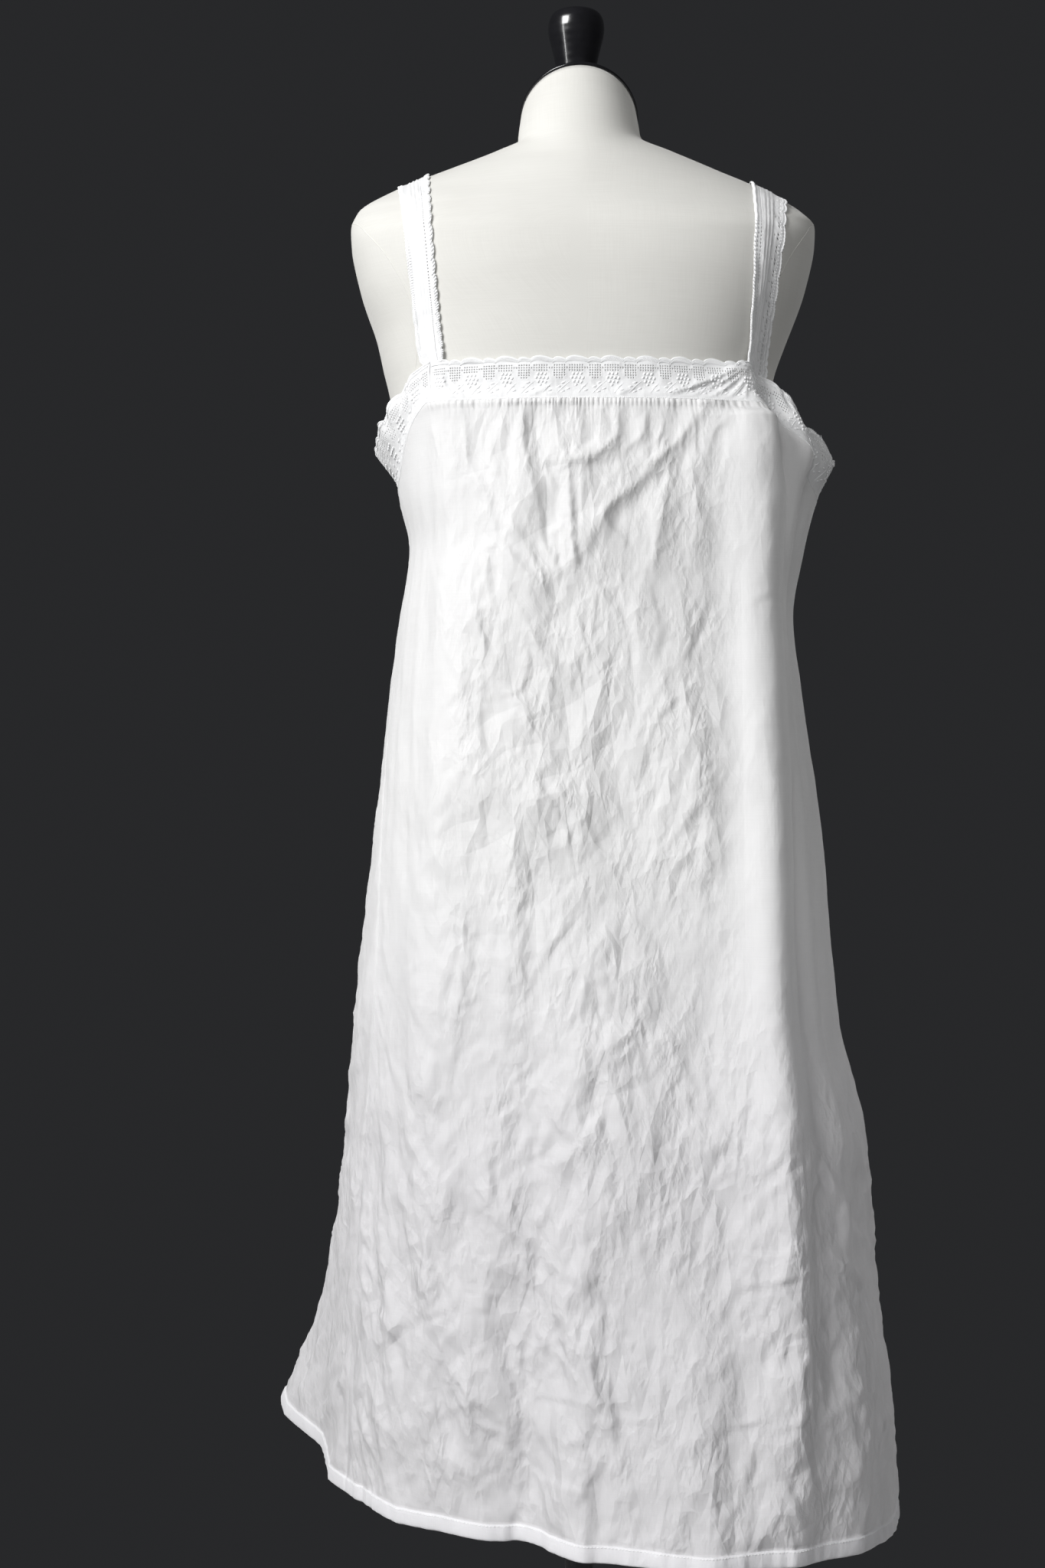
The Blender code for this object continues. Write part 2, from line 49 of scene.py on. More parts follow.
def flow(x, xs, ys):
    # smooth curve through (xs, ys) that doesn't overshoot them
    x, xs, ys = np.asarray(x, float), np.asarray(xs, float), np.asarray(ys, float)
    step = np.diff(xs)
    slope = np.diff(ys) / step
    before, after = slope[:-1], slope[1:]
    rising = before * after > 0
    weightBefore, weightAfter = 2 * step[1:] + step[:-1], step[1:] + 2 * step[:-1]
    inverse = weightBefore / np.where(rising, before, 1) + weightAfter / np.where(rising, after, 1)
    inner = np.where(rising, (weightBefore + weightAfter) / np.where(rising, inverse, 1), 0)
    tangent = np.concatenate(([slope[0]], inner, [slope[-1]]))
    i = np.clip(np.searchsorted(xs, x) - 1, 0, len(xs) - 2)
    t = np.clip((x - xs[i]) / step[i], 0, 1)
    start = (1 + 2 * t) * (1 - t) ** 2 * ys[i] + t * (1 - t) ** 2 * step[i] * tangent[i]
    end = t * t * (3 - 2 * t) * ys[i + 1] - t * t * (1 - t) * step[i] * tangent[i + 1]
    return start + end


def smooth(low, high, x):
    t = np.clip((np.asarray(x, float) - low) / (high - low), 0, 1)
    return t * t * (3 - 2 * t)


def noise(x, y, seed):
    # smooth value noise from 0 to 1, one cell to each unit
    table = np.random.default_rng(seed).random((64, 64))
    x, y = np.asarray(x, float), np.asarray(y, float)
    i, j = np.floor(x).astype(int), np.floor(y).astype(int)
    s, t = x - i, y - j
    s, t = s * s * s * (s * (6 * s - 15) + 10), t * t * t * (t * (6 * t - 15) + 10)
    i, j, iNext, jNext = i % 64, j % 64, (i + 1) % 64, (j + 1) % 64
    low = table[i, j] * (1 - s) + table[iNext, j] * s
    high = table[i, jNext] * (1 - s) + table[iNext, jNext] * s
    return low * (1 - t) + high * t


def facets(x, y, seed):
    # random heights on a lattice of triangles, with flat facets and sharp edges between them
    table = np.random.default_rng(seed).random((64, 64)) - 0.5
    slide = 0.366 * (x + y)
    u, v = x + slide, y + slide
    i, j = np.floor(u).astype(int), np.floor(v).astype(int)
    s, t = u - i, v - j
    i, j, iNext, jNext = i % 64, j % 64, (i + 1) % 64, (j + 1) % 64
    corner = np.where(s > t, table[iNext, j], table[i, jNext])
    near, far = 1 - np.maximum(s, t), np.minimum(s, t)
    return near * table[i, j] + np.abs(s - t) * corner + far * table[iNext, jNext]


def bell(x, width):
    return np.exp(-((x / width) ** 2))


def unit(vectors):
    return vectors / np.linalg.norm(vectors, axis=-1, keepdims=True)


def turns(count):
    # angles of evenly spaced points round a circle
    return 2 * np.pi * np.arange(count) / count


def pairs(first, second):
    return np.stack((first, second), axis=-1).reshape(-1, 2)


# The hang of the dress, as in the CAD

dress = {
    # height, half widths left and right, depths back and front, skew, squareness
    "outline": [
        (1.264, 0.171, 0.179, 0.113, 0.118, 0.0, 2.6), (1.245, 0.173, 0.187, 0.114, 0.123, 0.0, 2.6),
        (1.225, 0.173, 0.197, 0.115, 0.129, 0.0, 2.6), (1.205, 0.168, 0.211, 0.116, 0.134, 0.0, 2.55),
        (1.184, 0.163, 0.222, 0.1175, 0.138, 0.0, 2.5), (1.149, 0.158, 0.208, 0.12, 0.14, 0.0, 2.45),
        (1.105, 0.149, 0.196, 0.123, 0.141, 0.0, 2.45), (1.045, 0.157, 0.185, 0.127, 0.143, 0.01, 2.45),
        (0.985, 0.165, 0.191, 0.131, 0.147, 0.03, 2.45), (0.85, 0.181, 0.207, 0.141, 0.157, 0.08, 2.4),
        (0.75, 0.192, 0.213, 0.15, 0.166, 0.13, 2.4), (0.69, 0.198, 0.218, 0.155, 0.172, 0.16, 2.4),
        (0.64, 0.202, 0.229, 0.16, 0.177, 0.19, 2.4), (0.6, 0.205, 0.236, 0.164, 0.181, 0.21, 2.4),
        (0.5, 0.213, 0.24, 0.172, 0.19, 0.26, 2.4), (0.38, 0.222, 0.253, 0.18, 0.2, 0.31, 2.4),
        (0.28, 0.229, 0.256, 0.185, 0.206, 0.35, 2.4),
    ],
    # degrees from the centre back at the top and at the hem, half width, then how far it stands out
    # at the top, the middle, low down and at the hem
    "folds": [
        (57.0, 50.0, 5.0, 0.005, 0.004, 0.001, 0.0), (64.5, 58.0, 3.4, -0.0075, -0.0035, -0.001, 0.0),
        (70.0, 66.0, 3.2, 0.004, 0.003, 0.001, 0.0), (76.0, 74.0, 4.5, -0.01, -0.006, -0.003, -0.002),
        (-50.0, -40.0, 6.0, 0.004, 0.005, 0.001, 0.0), (-36.0, -36.0, 9.0, -0.001, -0.006, -0.01, -0.018),
        (-12.0, -17.0, 9.5, 0.0, -0.004, -0.018, -0.03), (0.0, -1.0, 4.0, 0.0, 0.001, 0.004, 0.006),
        (50.0, 55.0, 20.0, 0.0, 0.0, -0.01, -0.022), (-66.0, -62.0, 13.0, 0.0, 0.0, -0.004, -0.011),
        (12.0, 26.0, 10.0, 0.0, -0.002, 0.006, 0.012), (88.0, 96.0, 12.0, 0.0, 0.006, 0.01, 0.013),
        (118.0, 121.0, 11.0, 0.0, -0.006, -0.015, -0.022), (140.0, 146.0, 12.0, 0.0, 0.006, 0.018, 0.026),
        (168.0, 172.0, 10.0, 0.0, -0.004, -0.013, -0.02), (-166.0, -162.0, 11.0, 0.0, 0.004, 0.01, 0.016),
        (-112.0, -125.0, 17.5, 0.0, 0.01, 0.05, 0.112),
    ],
    "foldHeights": (0.28, 0.42, 0.72, 1.20),
    # degrees, height of the seam under the lace, height of the lace's free edge
    "rim": [
        (-180.0, 1.209, 1.244), (-130.0, 1.209, 1.244), (-120.5, 1.2, 1.236), (-106.0, 1.168, 1.204),
        (-90.0, 1.154, 1.19), (-76.0, 1.165, 1.207), (-68.0, 1.188, 1.228), (-60.0, 1.211, 1.249),
        (-54.0, 1.2205, 1.255), (57.3, 1.2205, 1.255), (66.2, 1.201, 1.244), (70.5, 1.182, 1.229),
        (75.2, 1.166, 1.217), (82.6, 1.15, 1.2), (90.0, 1.143, 1.184), (106.0, 1.164, 1.2),
        (120.5, 1.2, 1.236), (130.0, 1.209, 1.244), (180.0, 1.209, 1.244),
    ],
    # share of the way down, then the left and the right side seam in degrees
    "sideSeams": [(0.00, -90.0, 90.0), (0.30, -74.0, 93.0), (0.55, -65.0, 97.0), (1.00, -68.0, 102.0)],
    "hemHeight": 0.280,
    "backEnds": (-55.2, 61.75),  # middles of the straps, where the back edging ends
    "frontEnds": (125.0, 235.0),
    # angles where the neck side and the armhole side of each strap are sewn on, at the back and the front
    "strapFeet": {"left": ((-50.4, -60.0), (-129.5, -120.5)), "right": ((57.3, 66.2), (129.5, 120.5))},
}


def wrapped(angle):
    return (np.asarray(angle, float) + 180) % 360 - 180


def rimHeight(angle, line):
    rim = np.array(dress["rim"])
    return flow(wrapped(angle), rim[:, 0], rim[:, 1 if line == "seam" else 2])


def sideSeam(down, side):
    seams = np.array(dress["sideSeams"])
    return flow(down, seams[:, 0], seams[:, 1 if side == "left" else 2])


def foldRelief(angle, z):
    total = np.zeros(np.broadcast(angle, z).shape)
    low, high = dress["foldHeights"][0], dress["foldHeights"][-1]
    down = np.clip((high - z) / (high - low), 0, 1)
    for atTop, atHem, width, top, middle, lower, hem in dress["folds"]:
        centre = atTop + (atHem - atTop) * down
        depth = flow(z, dress["foldHeights"], (hem, lower, middle, top))
        total = total + depth * bell(wrapped(angle - centre), width)
    return total


def dressPoint(angle, z, out=0.0):
    # a point at an angle from the centre back and a height, moved out level by out
    angle, z = np.broadcast_arrays(np.asarray(angle, float), np.asarray(z, float))
    rows = np.array(dress["outline"])[::-1]
    left, right, back, front, skew, square = (flow(z, rows[:, 0], rows[:, k]) for k in range(1, 7))

    def outline(at):
        sine, cosine = np.sin(np.radians(at)), np.cos(np.radians(at))
        across = np.abs(sine) / np.where(sine >= 0, right, left)
        along = np.abs(cosine) / np.where(cosine >= 0, back, front)
        reach = (across**square + along**square) ** (-1 / square) + foldRelief(at, z)
        return reach * sine, -reach * cosine - skew * reach * sine

    nudge = 0.05
    x, y = outline(angle)
    xOn, yOn = outline(angle + nudge)
    xOff, yOff = outline(angle - nudge)
    runX, runY = xOn - xOff, yOn - yOff
    length = np.hypot(runX, runY)
    return np.stack((x + out * runY / length, y - out * runX / length, z), axis=-1)


# Meshes


def gridQuads(rows, columns, start=0, closed=False):
    i, j = np.meshgrid(np.arange(rows - 1), np.arange(columns if closed else columns - 1), indexing="ij")
    after = (j + 1) % columns
    low, high = start + i * columns, start + (i + 1) * columns
    return np.stack((low + j, high + j, high + after, low + after), axis=-1).reshape(-1, 4)


def newPiece(name, points, faces, material, slotName, uv=None, node=None):
    # a named mesh that rides on the one body; faces is a list of arrays, and uv is in metres
    mesh = bpy.data.meshes.new(name)
    mesh.from_pydata(points.tolist(), [], [row for group in faces for row in group.tolist()])
    mesh.shade_smooth()
    if uv is not None:
        corner = np.zeros(len(mesh.loops), np.int32)
        mesh.loops.foreach_get("vertex_index", corner)
        layer = mesh.uv_layers.new(name="cloth")
        layer.data.foreach_set("uv", uv[corner].astype(np.float32).ravel())
    mesh.materials.append(material)
    mesh.validate()
    piece = bpy.data.objects.new(name, mesh)
    bpy.context.scene.collection.objects.link(piece)
    if node:
        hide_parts(node)
    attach(piece, "root")
    return piece


def tube(path, radius, sides, normals):
    # points and quads of a tube along a path; radius may differ from point to point
    run = unit(np.gradient(path, axis=0))
    side = unit(np.cross(run, normals))
    up = np.cross(side, run)
    turn = turns(sides)[None, :, None]
    ring = np.cos(turn) * side[:, None] + np.sin(turn) * up[:, None]
    points = path[:, None] + np.broadcast_to(radius, len(path))[:, None, None] * ring
    return points.reshape(-1, 3), [gridQuads(len(path), sides, closed=True)]


def blobs(centres, along, normal, size, sides=8, rings=3):
    # low domes on a surface: size is (half length, half width, height) for each or for all
    normal = unit(normal)
    along = unit(along - (along * normal).sum(1, keepdims=True) * normal)
    axes = (along, np.cross(normal, along), normal)
    size = np.broadcast_to(size, (len(centres), 3))
    lift = np.linspace(0, np.pi / 2, rings + 1)[:-1]
    shape = [(np.cos(a) * np.cos(t), np.cos(a) * np.sin(t), np.sin(a)) for a in lift for t in turns(sides)]
    local = np.array([*shape, (0, 0, 1)])[None] * size[:, None]
    points = centres[:, None] + sum(local[..., k, None] * axis[:, None] for k, axis in enumerate(axes))
    quads = gridQuads(rings, sides, closed=True)[:, ::-1]
    top, peak = (rings - 1) * sides, rings * sides
    fan = np.array([(top + k, top + (k + 1) % sides, peak) for k in range(sides)])
    shift = np.arange(len(centres))[:, None, None] * (peak + 1)
    return points.reshape(-1, 3), [(quads[None] + shift).reshape(-1, 4), (fan[None] + shift).reshape(-1, 3)]


def closedRings(rings, footMiddle, topMiddle):
    # a body of level rings, closed at both ends by fans to their middles
    segments = rings.shape[1]
    count = len(rings) * segments
    i = np.arange(segments)
    after, last = (i + 1) % segments, count - segments
    points = np.vstack((rings.reshape(-1, 3), [footMiddle, topMiddle]))
    quads = gridQuads(len(rings), segments, closed=True)[:, ::-1]
    foot = np.stack((np.full(segments, count), after, i), 1)
    top = np.stack((np.full(segments, count + 1), last + i, last + after), 1)
    return points, [quads, foot, top]


def joined(parts):
    # several (points, faces) as one
    points, faces, start = [], [], 0
    for some, groups in parts:
        faces += [group + start for group in groups]
        points.append(some)
        start += len(some)
    return np.vstack(points), faces


print("shapes ready")


# Materials


def setInputs(tree, node, inputs):
    # a socket is linked, and anything else is set
    for label, value in inputs.items():
        if isinstance(value, bpy.types.NodeSocket):
            tree.links.new(value, node.inputs[label])
        else:
            node.inputs[label].default_value = value
    return node


def addNode(tree, kind, inputs=None, **settings):
    node = tree.nodes.new("ShaderNode" + kind)
    for label, value in settings.items():
        setattr(node, label, value)
    return setInputs(tree, node, inputs or {})


def mathNode(tree, operation, *values, clamp=False):
    return addNode(tree, "Math", dict(enumerate(values)), operation=operation, use_clamp=clamp).outputs[0]


def newGroup(name, numbers, outputs):
    # a node group that takes a position in metres and the given numbers
    group = bpy.data.node_groups.new(name, "ShaderNodeTree")
    group.interface.new_socket(name="Position", in_out="INPUT", socket_type="NodeSocketVector")
    for label, value in numbers.items():
        made = group.interface.new_socket(name=label, in_out="INPUT", socket_type="NodeSocketFloat")
        made.default_value = value
    for label in outputs:
        group.interface.new_socket(name=label, in_out="OUTPUT", socket_type="NodeSocketFloat")
    return group, group.nodes.new("NodeGroupInput").outputs, group.nodes.new("NodeGroupOutput")


def makeWeaveGroup():
    # over-and-under threads with slubs; pitch is metres to a thread
    group, given, leave = newGroup("plainWeave", {"Pitch": 0.0004, "Slub": 0.5}, ("Height", "Slubs"))
    split = addNode(group, "SeparateXYZ", {0: given["Position"]})
    waves = []
    for axis in ("X", "Y"):
        threads = mathNode(group, "DIVIDE", split.outputs[axis], given["Pitch"])
        turn = mathNode(group, "MULTIPLY", threads, math.pi)
        roundness = mathNode(group, "ABSOLUTE", mathNode(group, "COSINE", turn))
        waves.append((mathNode(group, "SINE", turn), roundness))
    (alongWarp, warp), (alongWeft, weft) = waves
    over = mathNode(group, "MULTIPLY_ADD", mathNode(group, "MULTIPLY", alongWarp, alongWeft), 0.5, 0.5)
    warp = mathNode(group, "MULTIPLY", warp, over)
    weft = mathNode(group, "MULTIPLY", weft, mathNode(group, "SUBTRACT", 1.0, over))
    woven = mathNode(group, "MULTIPLY", mathNode(group, "ADD", warp, weft), 0.35)
    grains = []
    for stretch in ((2600, 90, 1), (90, 2600, 1)):
        place = addNode(group, "Mapping", {"Vector": given["Position"], "Scale": stretch}).outputs[0]
        inputs = {"Vector": place, "Scale": 0.35, "Detail": 3.0}
        grains.append(addNode(group, "TexNoise", inputs, noise_dimensions="2D").outputs["Fac"])
    slubs = mathNode(group, "MULTIPLY", mathNode(group, "ADD", *grains), 0.5)
    raised = mathNode(group, "MULTIPLY", slubs, given["Slub"])
    setInputs(group, leave, {"Height": mathNode(group, "ADD", woven, raised), "Slubs": slubs})
    return group


def makeMottleGroup():
    # broad soft shade changes, as in washed or handled cloth; size is metres to a patch
    group, given, leave = newGroup("mottle", {"Size": 0.05}, ["Mask"])
    scale = mathNode(group, "DIVIDE", 1.0, given["Size"])
    inputs = {"Vector": given["Position"], "Scale": scale, "Detail": 4.0, "Roughness": 0.55}
    setInputs(group, leave, {"Mask": addNode(group, "TexNoise", inputs).outputs["Fac"]})
    return group


def makeWrinkleGroup():
    # crumpled cloth: small flat facets with sharp straight creases between them, mostly upright and
    # patchy; size is metres to a facet, and the height is in metres
    group, given, leave = newGroup("fineWrinkles", {"Size": 0.012}, ["Height"])
    scale = mathNode(group, "DIVIDE", 1.0, given["Size"])
    total = 0.0
    for turn, finer, slope in ((0.25, 0.42, 0.5), (-0.55, 1.0, 0.5), (0.95, 2.2, 0.42), (-0.3, 5.0, 0.24)):
        size = mathNode(group, "MULTIPLY", scale, finer)
        inputs = {"Vector": given["Position"], "Rotation": (0.1, turn, 0), "Scale": (1, 1, 0.5)}
        place = addNode(group, "Mapping", inputs).outputs[0]
        half = mathNode(group, "MULTIPLY", scale, 0.5 * finer)
        bend = addNode(group, "TexNoise", {"Vector": place, "Scale": half, "Detail": 1.0}).outputs["Color"]
        reach = mathNode(group, "DIVIDE", 0.9, size)
        shift = addNode(group, "VectorMath", {0: bend, "Scale": reach}, operation="SCALE").outputs[0]
        moved = addNode(group, "VectorMath", {0: place, 1: shift}).outputs[0]
        cells = addNode(group, "TexVoronoi", {"Vector": moved, "Scale": size}, distance="MANHATTAN")
        wide = mathNode(group, "MULTIPLY", size, 0.3)
        patch = addNode(group, "TexNoise", {"Vector": moved, "Scale": wide, "Detail": 1.0}).outputs["Fac"]
        mask = mathNode(group, "MULTIPLY_ADD", patch, 3.4, -1.25, clamp=True)
        facet = mathNode(group, "MULTIPLY", cells.outputs["Distance"], mask)
        facet = mathNode(group, "DIVIDE", facet, size)
        total = mathNode(group, "MULTIPLY_ADD", facet, slope, total)
    setInputs(group, leave, {"Height": total})
    return group


weaveGroup = makeWeaveGroup()
wrinkleGroup = makeWrinkleGroup()
mottleGroup = makeMottleGroup()


def placeGroup(tree, group, **inputs):
    return addNode(tree, "Group", inputs, node_tree=group).outputs


def newMaterial(name):
    material = bpy.data.materials.new(name)
    material.use_nodes = True
    tree = material.node_tree
    return material, tree, tree.nodes["Principled BSDF"]


def mixColour(tree, mask, first, second):
    # first and second are colours or sockets
    ends = [end if isinstance(end, bpy.types.NodeSocket) else (*end, 1) for end in (first, second)]
    inputs = {"Factor": mask, "A": ends[0], "B": ends[1]}
    return addNode(tree, "Mix", inputs, data_type="RGBA").outputs["Result"]


def bumpFrom(tree, height, distance, strength, **after):
    inputs = {"Height": height, "Distance": distance, "Strength": strength, **after}
    return addNode(tree, "Bump", inputs).outputs["Normal"]


def clothMaterial(name, look):
    # a woven cloth, with some light let through
    material, tree, shader = newMaterial(name)
    cloth = addNode(tree, "UVMap", uv_map="cloth").outputs[0]
    solid = addNode(tree, "TexCoord").outputs["Object"]
    place = addNode(tree, "SeparateXYZ", {0: solid}).outputs
    weave = placeGroup(tree, weaveGroup, Position=cloth, Pitch=look["pitch"], Slub=look["slub"])
    mottle = placeGroup(tree, mottleGroup, Position=solid, Size=look["mottleSize"])[0]
    shade = mathNode(tree, "MULTIPLY_ADD", weave["Slubs"], 0.6, mathNode(tree, "MULTIPLY", mottle, 0.4))
    spread = mathNode(tree, "MULTIPLY_ADD", shade, 3.0, -1.0, clamp=True)
    colour = mixColour(tree, spread, look["dark"], look["light"])
    if look["paintedLowShade"]:
        # painted shade: the colour turns greyer and a little lavender below knee height, where less light
        # falls
        ends = [np.multiply(look[part], look["paintedLowShade"]) for part in ("dark", "light")]
        raised = mathNode(tree, "MULTIPLY_ADD", place["Z"], 4.0, -2.3, clamp=True)
        colour = mixColour(tree, raised, mixColour(tree, spread, *ends), colour)
    under = {}
    if look["wrinkle"] > 0:
        height = placeGroup(tree, wrinkleGroup, Position=solid, Size=look["wrinkleSize"])["Height"]
        if look["calmSides"]:
            # the sides hang smoother than the middle, down to knee height
            aside = mathNode(tree, "ABSOLUTE", place["X"])
            beside = mathNode(tree, "MULTIPLY_ADD", aside, 32.0, -3.2, clamp=True)
            above = mathNode(tree, "MULTIPLY_ADD", place["Z"], 7.0, -4.2, clamp=True)
            calm = mathNode(tree, "MULTIPLY_ADD", mathNode(tree, "MULTIPLY", beside, above), -0.75, 1.0)
            height = mathNode(tree, "MULTIPLY", height, calm)
        under = {"Normal": bumpFrom(tree, height, look["wrinkle"], 1.0)}
    setInputs(tree, shader, {
        "Base Color": colour,
        "Roughness": mathNode(tree, "MULTIPLY_ADD", spread, 0.08, look["roughness"]),
        "Sheen Weight": look["sheen"], "Sheen Roughness": 0.45, "Specular IOR Level": 0.25,
        "Normal": bumpFrom(tree, weave["Height"], look["relief"], look["bump"], **under),
    })
    if look["through"] > 0:
        glow = addNode(tree, "BsdfTranslucent", {"Color": (*look["light"], 1)})
        mix = addNode(tree, "MixShader", {"Fac": look["through"], 1: shader.outputs[0], 2: glow.outputs[0]})
        tree.links.new(mix.outputs[0], tree.nodes["Material Output"].inputs["Surface"])
    return material


# pitch, relief and the sizes of mottle and wrinkles in metres; dark and light are the ends of the slubs
linenLook = {
    "pitch": 0.00045, "slub": 1.4, "mottleSize": 0.06,
    "dark": (0.868, 0.866, 0.868), "light": (0.926, 0.924, 0.926),
    "roughness": 0.72, "sheen": 0.25, "relief": 0.00016, "bump": 0.6, "through": 0.24,
    # paintedLowShade is painted shade that greys the linen, and the hem with it, below knee height
    "wrinkle": 0.30, "wrinkleSize": 0.017, "calmSides": True, "paintedLowShade": (0.88, 0.872, 0.888),
}
laceLook = {
    "pitch": 0.00042, "slub": 1.0, "mottleSize": 0.02,
    "dark": (0.87, 0.873, 0.88), "light": (0.93, 0.932, 0.935),
    "roughness": 0.70, "sheen": 0.25, "relief": 0.00014, "bump": 0.6, "through": 0.17,
    "wrinkle": 0.12, "wrinkleSize": 0.008, "calmSides": False, "paintedLowShade": None,
}
canvasLook = {
    "pitch": 0.00060, "slub": 0.4, "mottleSize": 0.09,
    "dark": (0.622, 0.614, 0.582), "light": (0.672, 0.666, 0.634),
    "roughness": 0.80, "sheen": 0.15, "relief": 0.00010, "bump": 0.4, "through": 0.0,
    "wrinkle": 0.0, "paintedLowShade": None,
}
hemLook = dict(linenLook, through=0.04, dark=(0.90, 0.902, 0.91), light=(0.94, 0.942, 0.95), wrinkle=0.10)
threadLook = {
    "colour": (0.92, 0.925, 0.93), "shade": 0.93, "mottleSize": 0.004, "roughness": 0.55, "sheen": 0.35,
    "strandScale": 400.0, "relief": 0.0001, "bump": 0.6,
}
lacquerLook = {
    "colour": (0.006, 0.006, 0.007), "shade": 2.2, "mottleSize": 0.012, "roughness": 0.18, "spread": 0.10,
    "coat": 0.5, "coatRoughness": 0.08, "ringScale": 45.0, "relief": 0.00025, "bump": 0.35,
}
metalLook = {
    "colour": (0.022, 0.022, 0.024), "shade": 1.7, "mottleSize": 0.05, "roughness": 0.34, "spread": 0.16,
    "metallic": 0.35, "peelSize": 0.0025, "relief": 0.0002, "bump": 0.3,
}


def plainMaterial(name, look):
    # thread, lacquer or paint, before its own relief: a colour that drifts a little towards its shade
    material, tree, shader = newMaterial(name)
    solid = addNode(tree, "TexCoord").outputs["Object"]
    mottle = placeGroup(tree, mottleGroup, Position=solid, Size=look["mottleSize"])[0]
    ends = sorted((look["colour"], tuple(look["shade"] * part for part in look["colour"])))
    setInputs(tree, shader, {"Base Color": mixColour(tree, mottle, *ends), "Roughness": look["roughness"]})
    if "spread" in look:
        rough = mathNode(tree, "MULTIPLY_ADD", mottle, look["spread"], look["roughness"])
        setInputs(tree, shader, {"Roughness": rough})
    return material, tree, shader, solid


def threadMaterial(look):
    # raised satin stitches, with fine strands across them
    material, tree, shader, solid = plainMaterial("satinThread", look)
    inputs = {"Vector": solid, "Scale": look["strandScale"], "Distortion": 1.0}
    strands = addNode(tree, "TexWave", inputs, bands_direction="DIAGONAL").outputs["Fac"]
    normal = bumpFrom(tree, strands, look["relief"], look["bump"])
    setInputs(tree, shader, {"Sheen Weight": look["sheen"], "Normal": normal})
    return material


def lacquerMaterial(look):
    # black gloss lacquer over turned wood, with the faint rings of the lathe
    material, tree, shader, solid = plainMaterial("blackLacquer", look)
    inputs = {
        "Vector": solid, "Scale": look["ringScale"], "Distortion": 2.5, "Detail": 2.0, "Detail Scale": 0.6}
    rings = addNode(tree, "TexWave", inputs, bands_direction="Z").outputs["Fac"]
    normal = bumpFrom(tree, rings, look["relief"], look["bump"])
    setInputs(tree, shader, {
        "Coat Weight": look["coat"], "Coat Roughness": look["coatRoughness"], "Normal": normal})
    return material


def metalMaterial(look):
    # satin black paint on the stand, with a fine orange peel
    material, tree, shader, solid = plainMaterial("standPaint", look)
    peel = placeGroup(tree, mottleGroup, Position=solid, Size=look["peelSize"])[0]
    normal = bumpFrom(tree, peel, look["relief"], look["bump"])
    setInputs(tree, shader, {"Metallic": look["metallic"], "Normal": normal})
    return material


linen = clothMaterial("whiteLinen", linenLook)
hemLinen = clothMaterial("hemLinen", hemLook)  # the turned hem, two layers thick
lace = clothMaterial("whiteLace", laceLook)
canvas = clothMaterial("formCanvas", canvasLook)
thread = threadMaterial(threadLook)
lacquer = lacquerMaterial(lacquerLook)
metal = metalMaterial(metalLook)
print("materials ready")
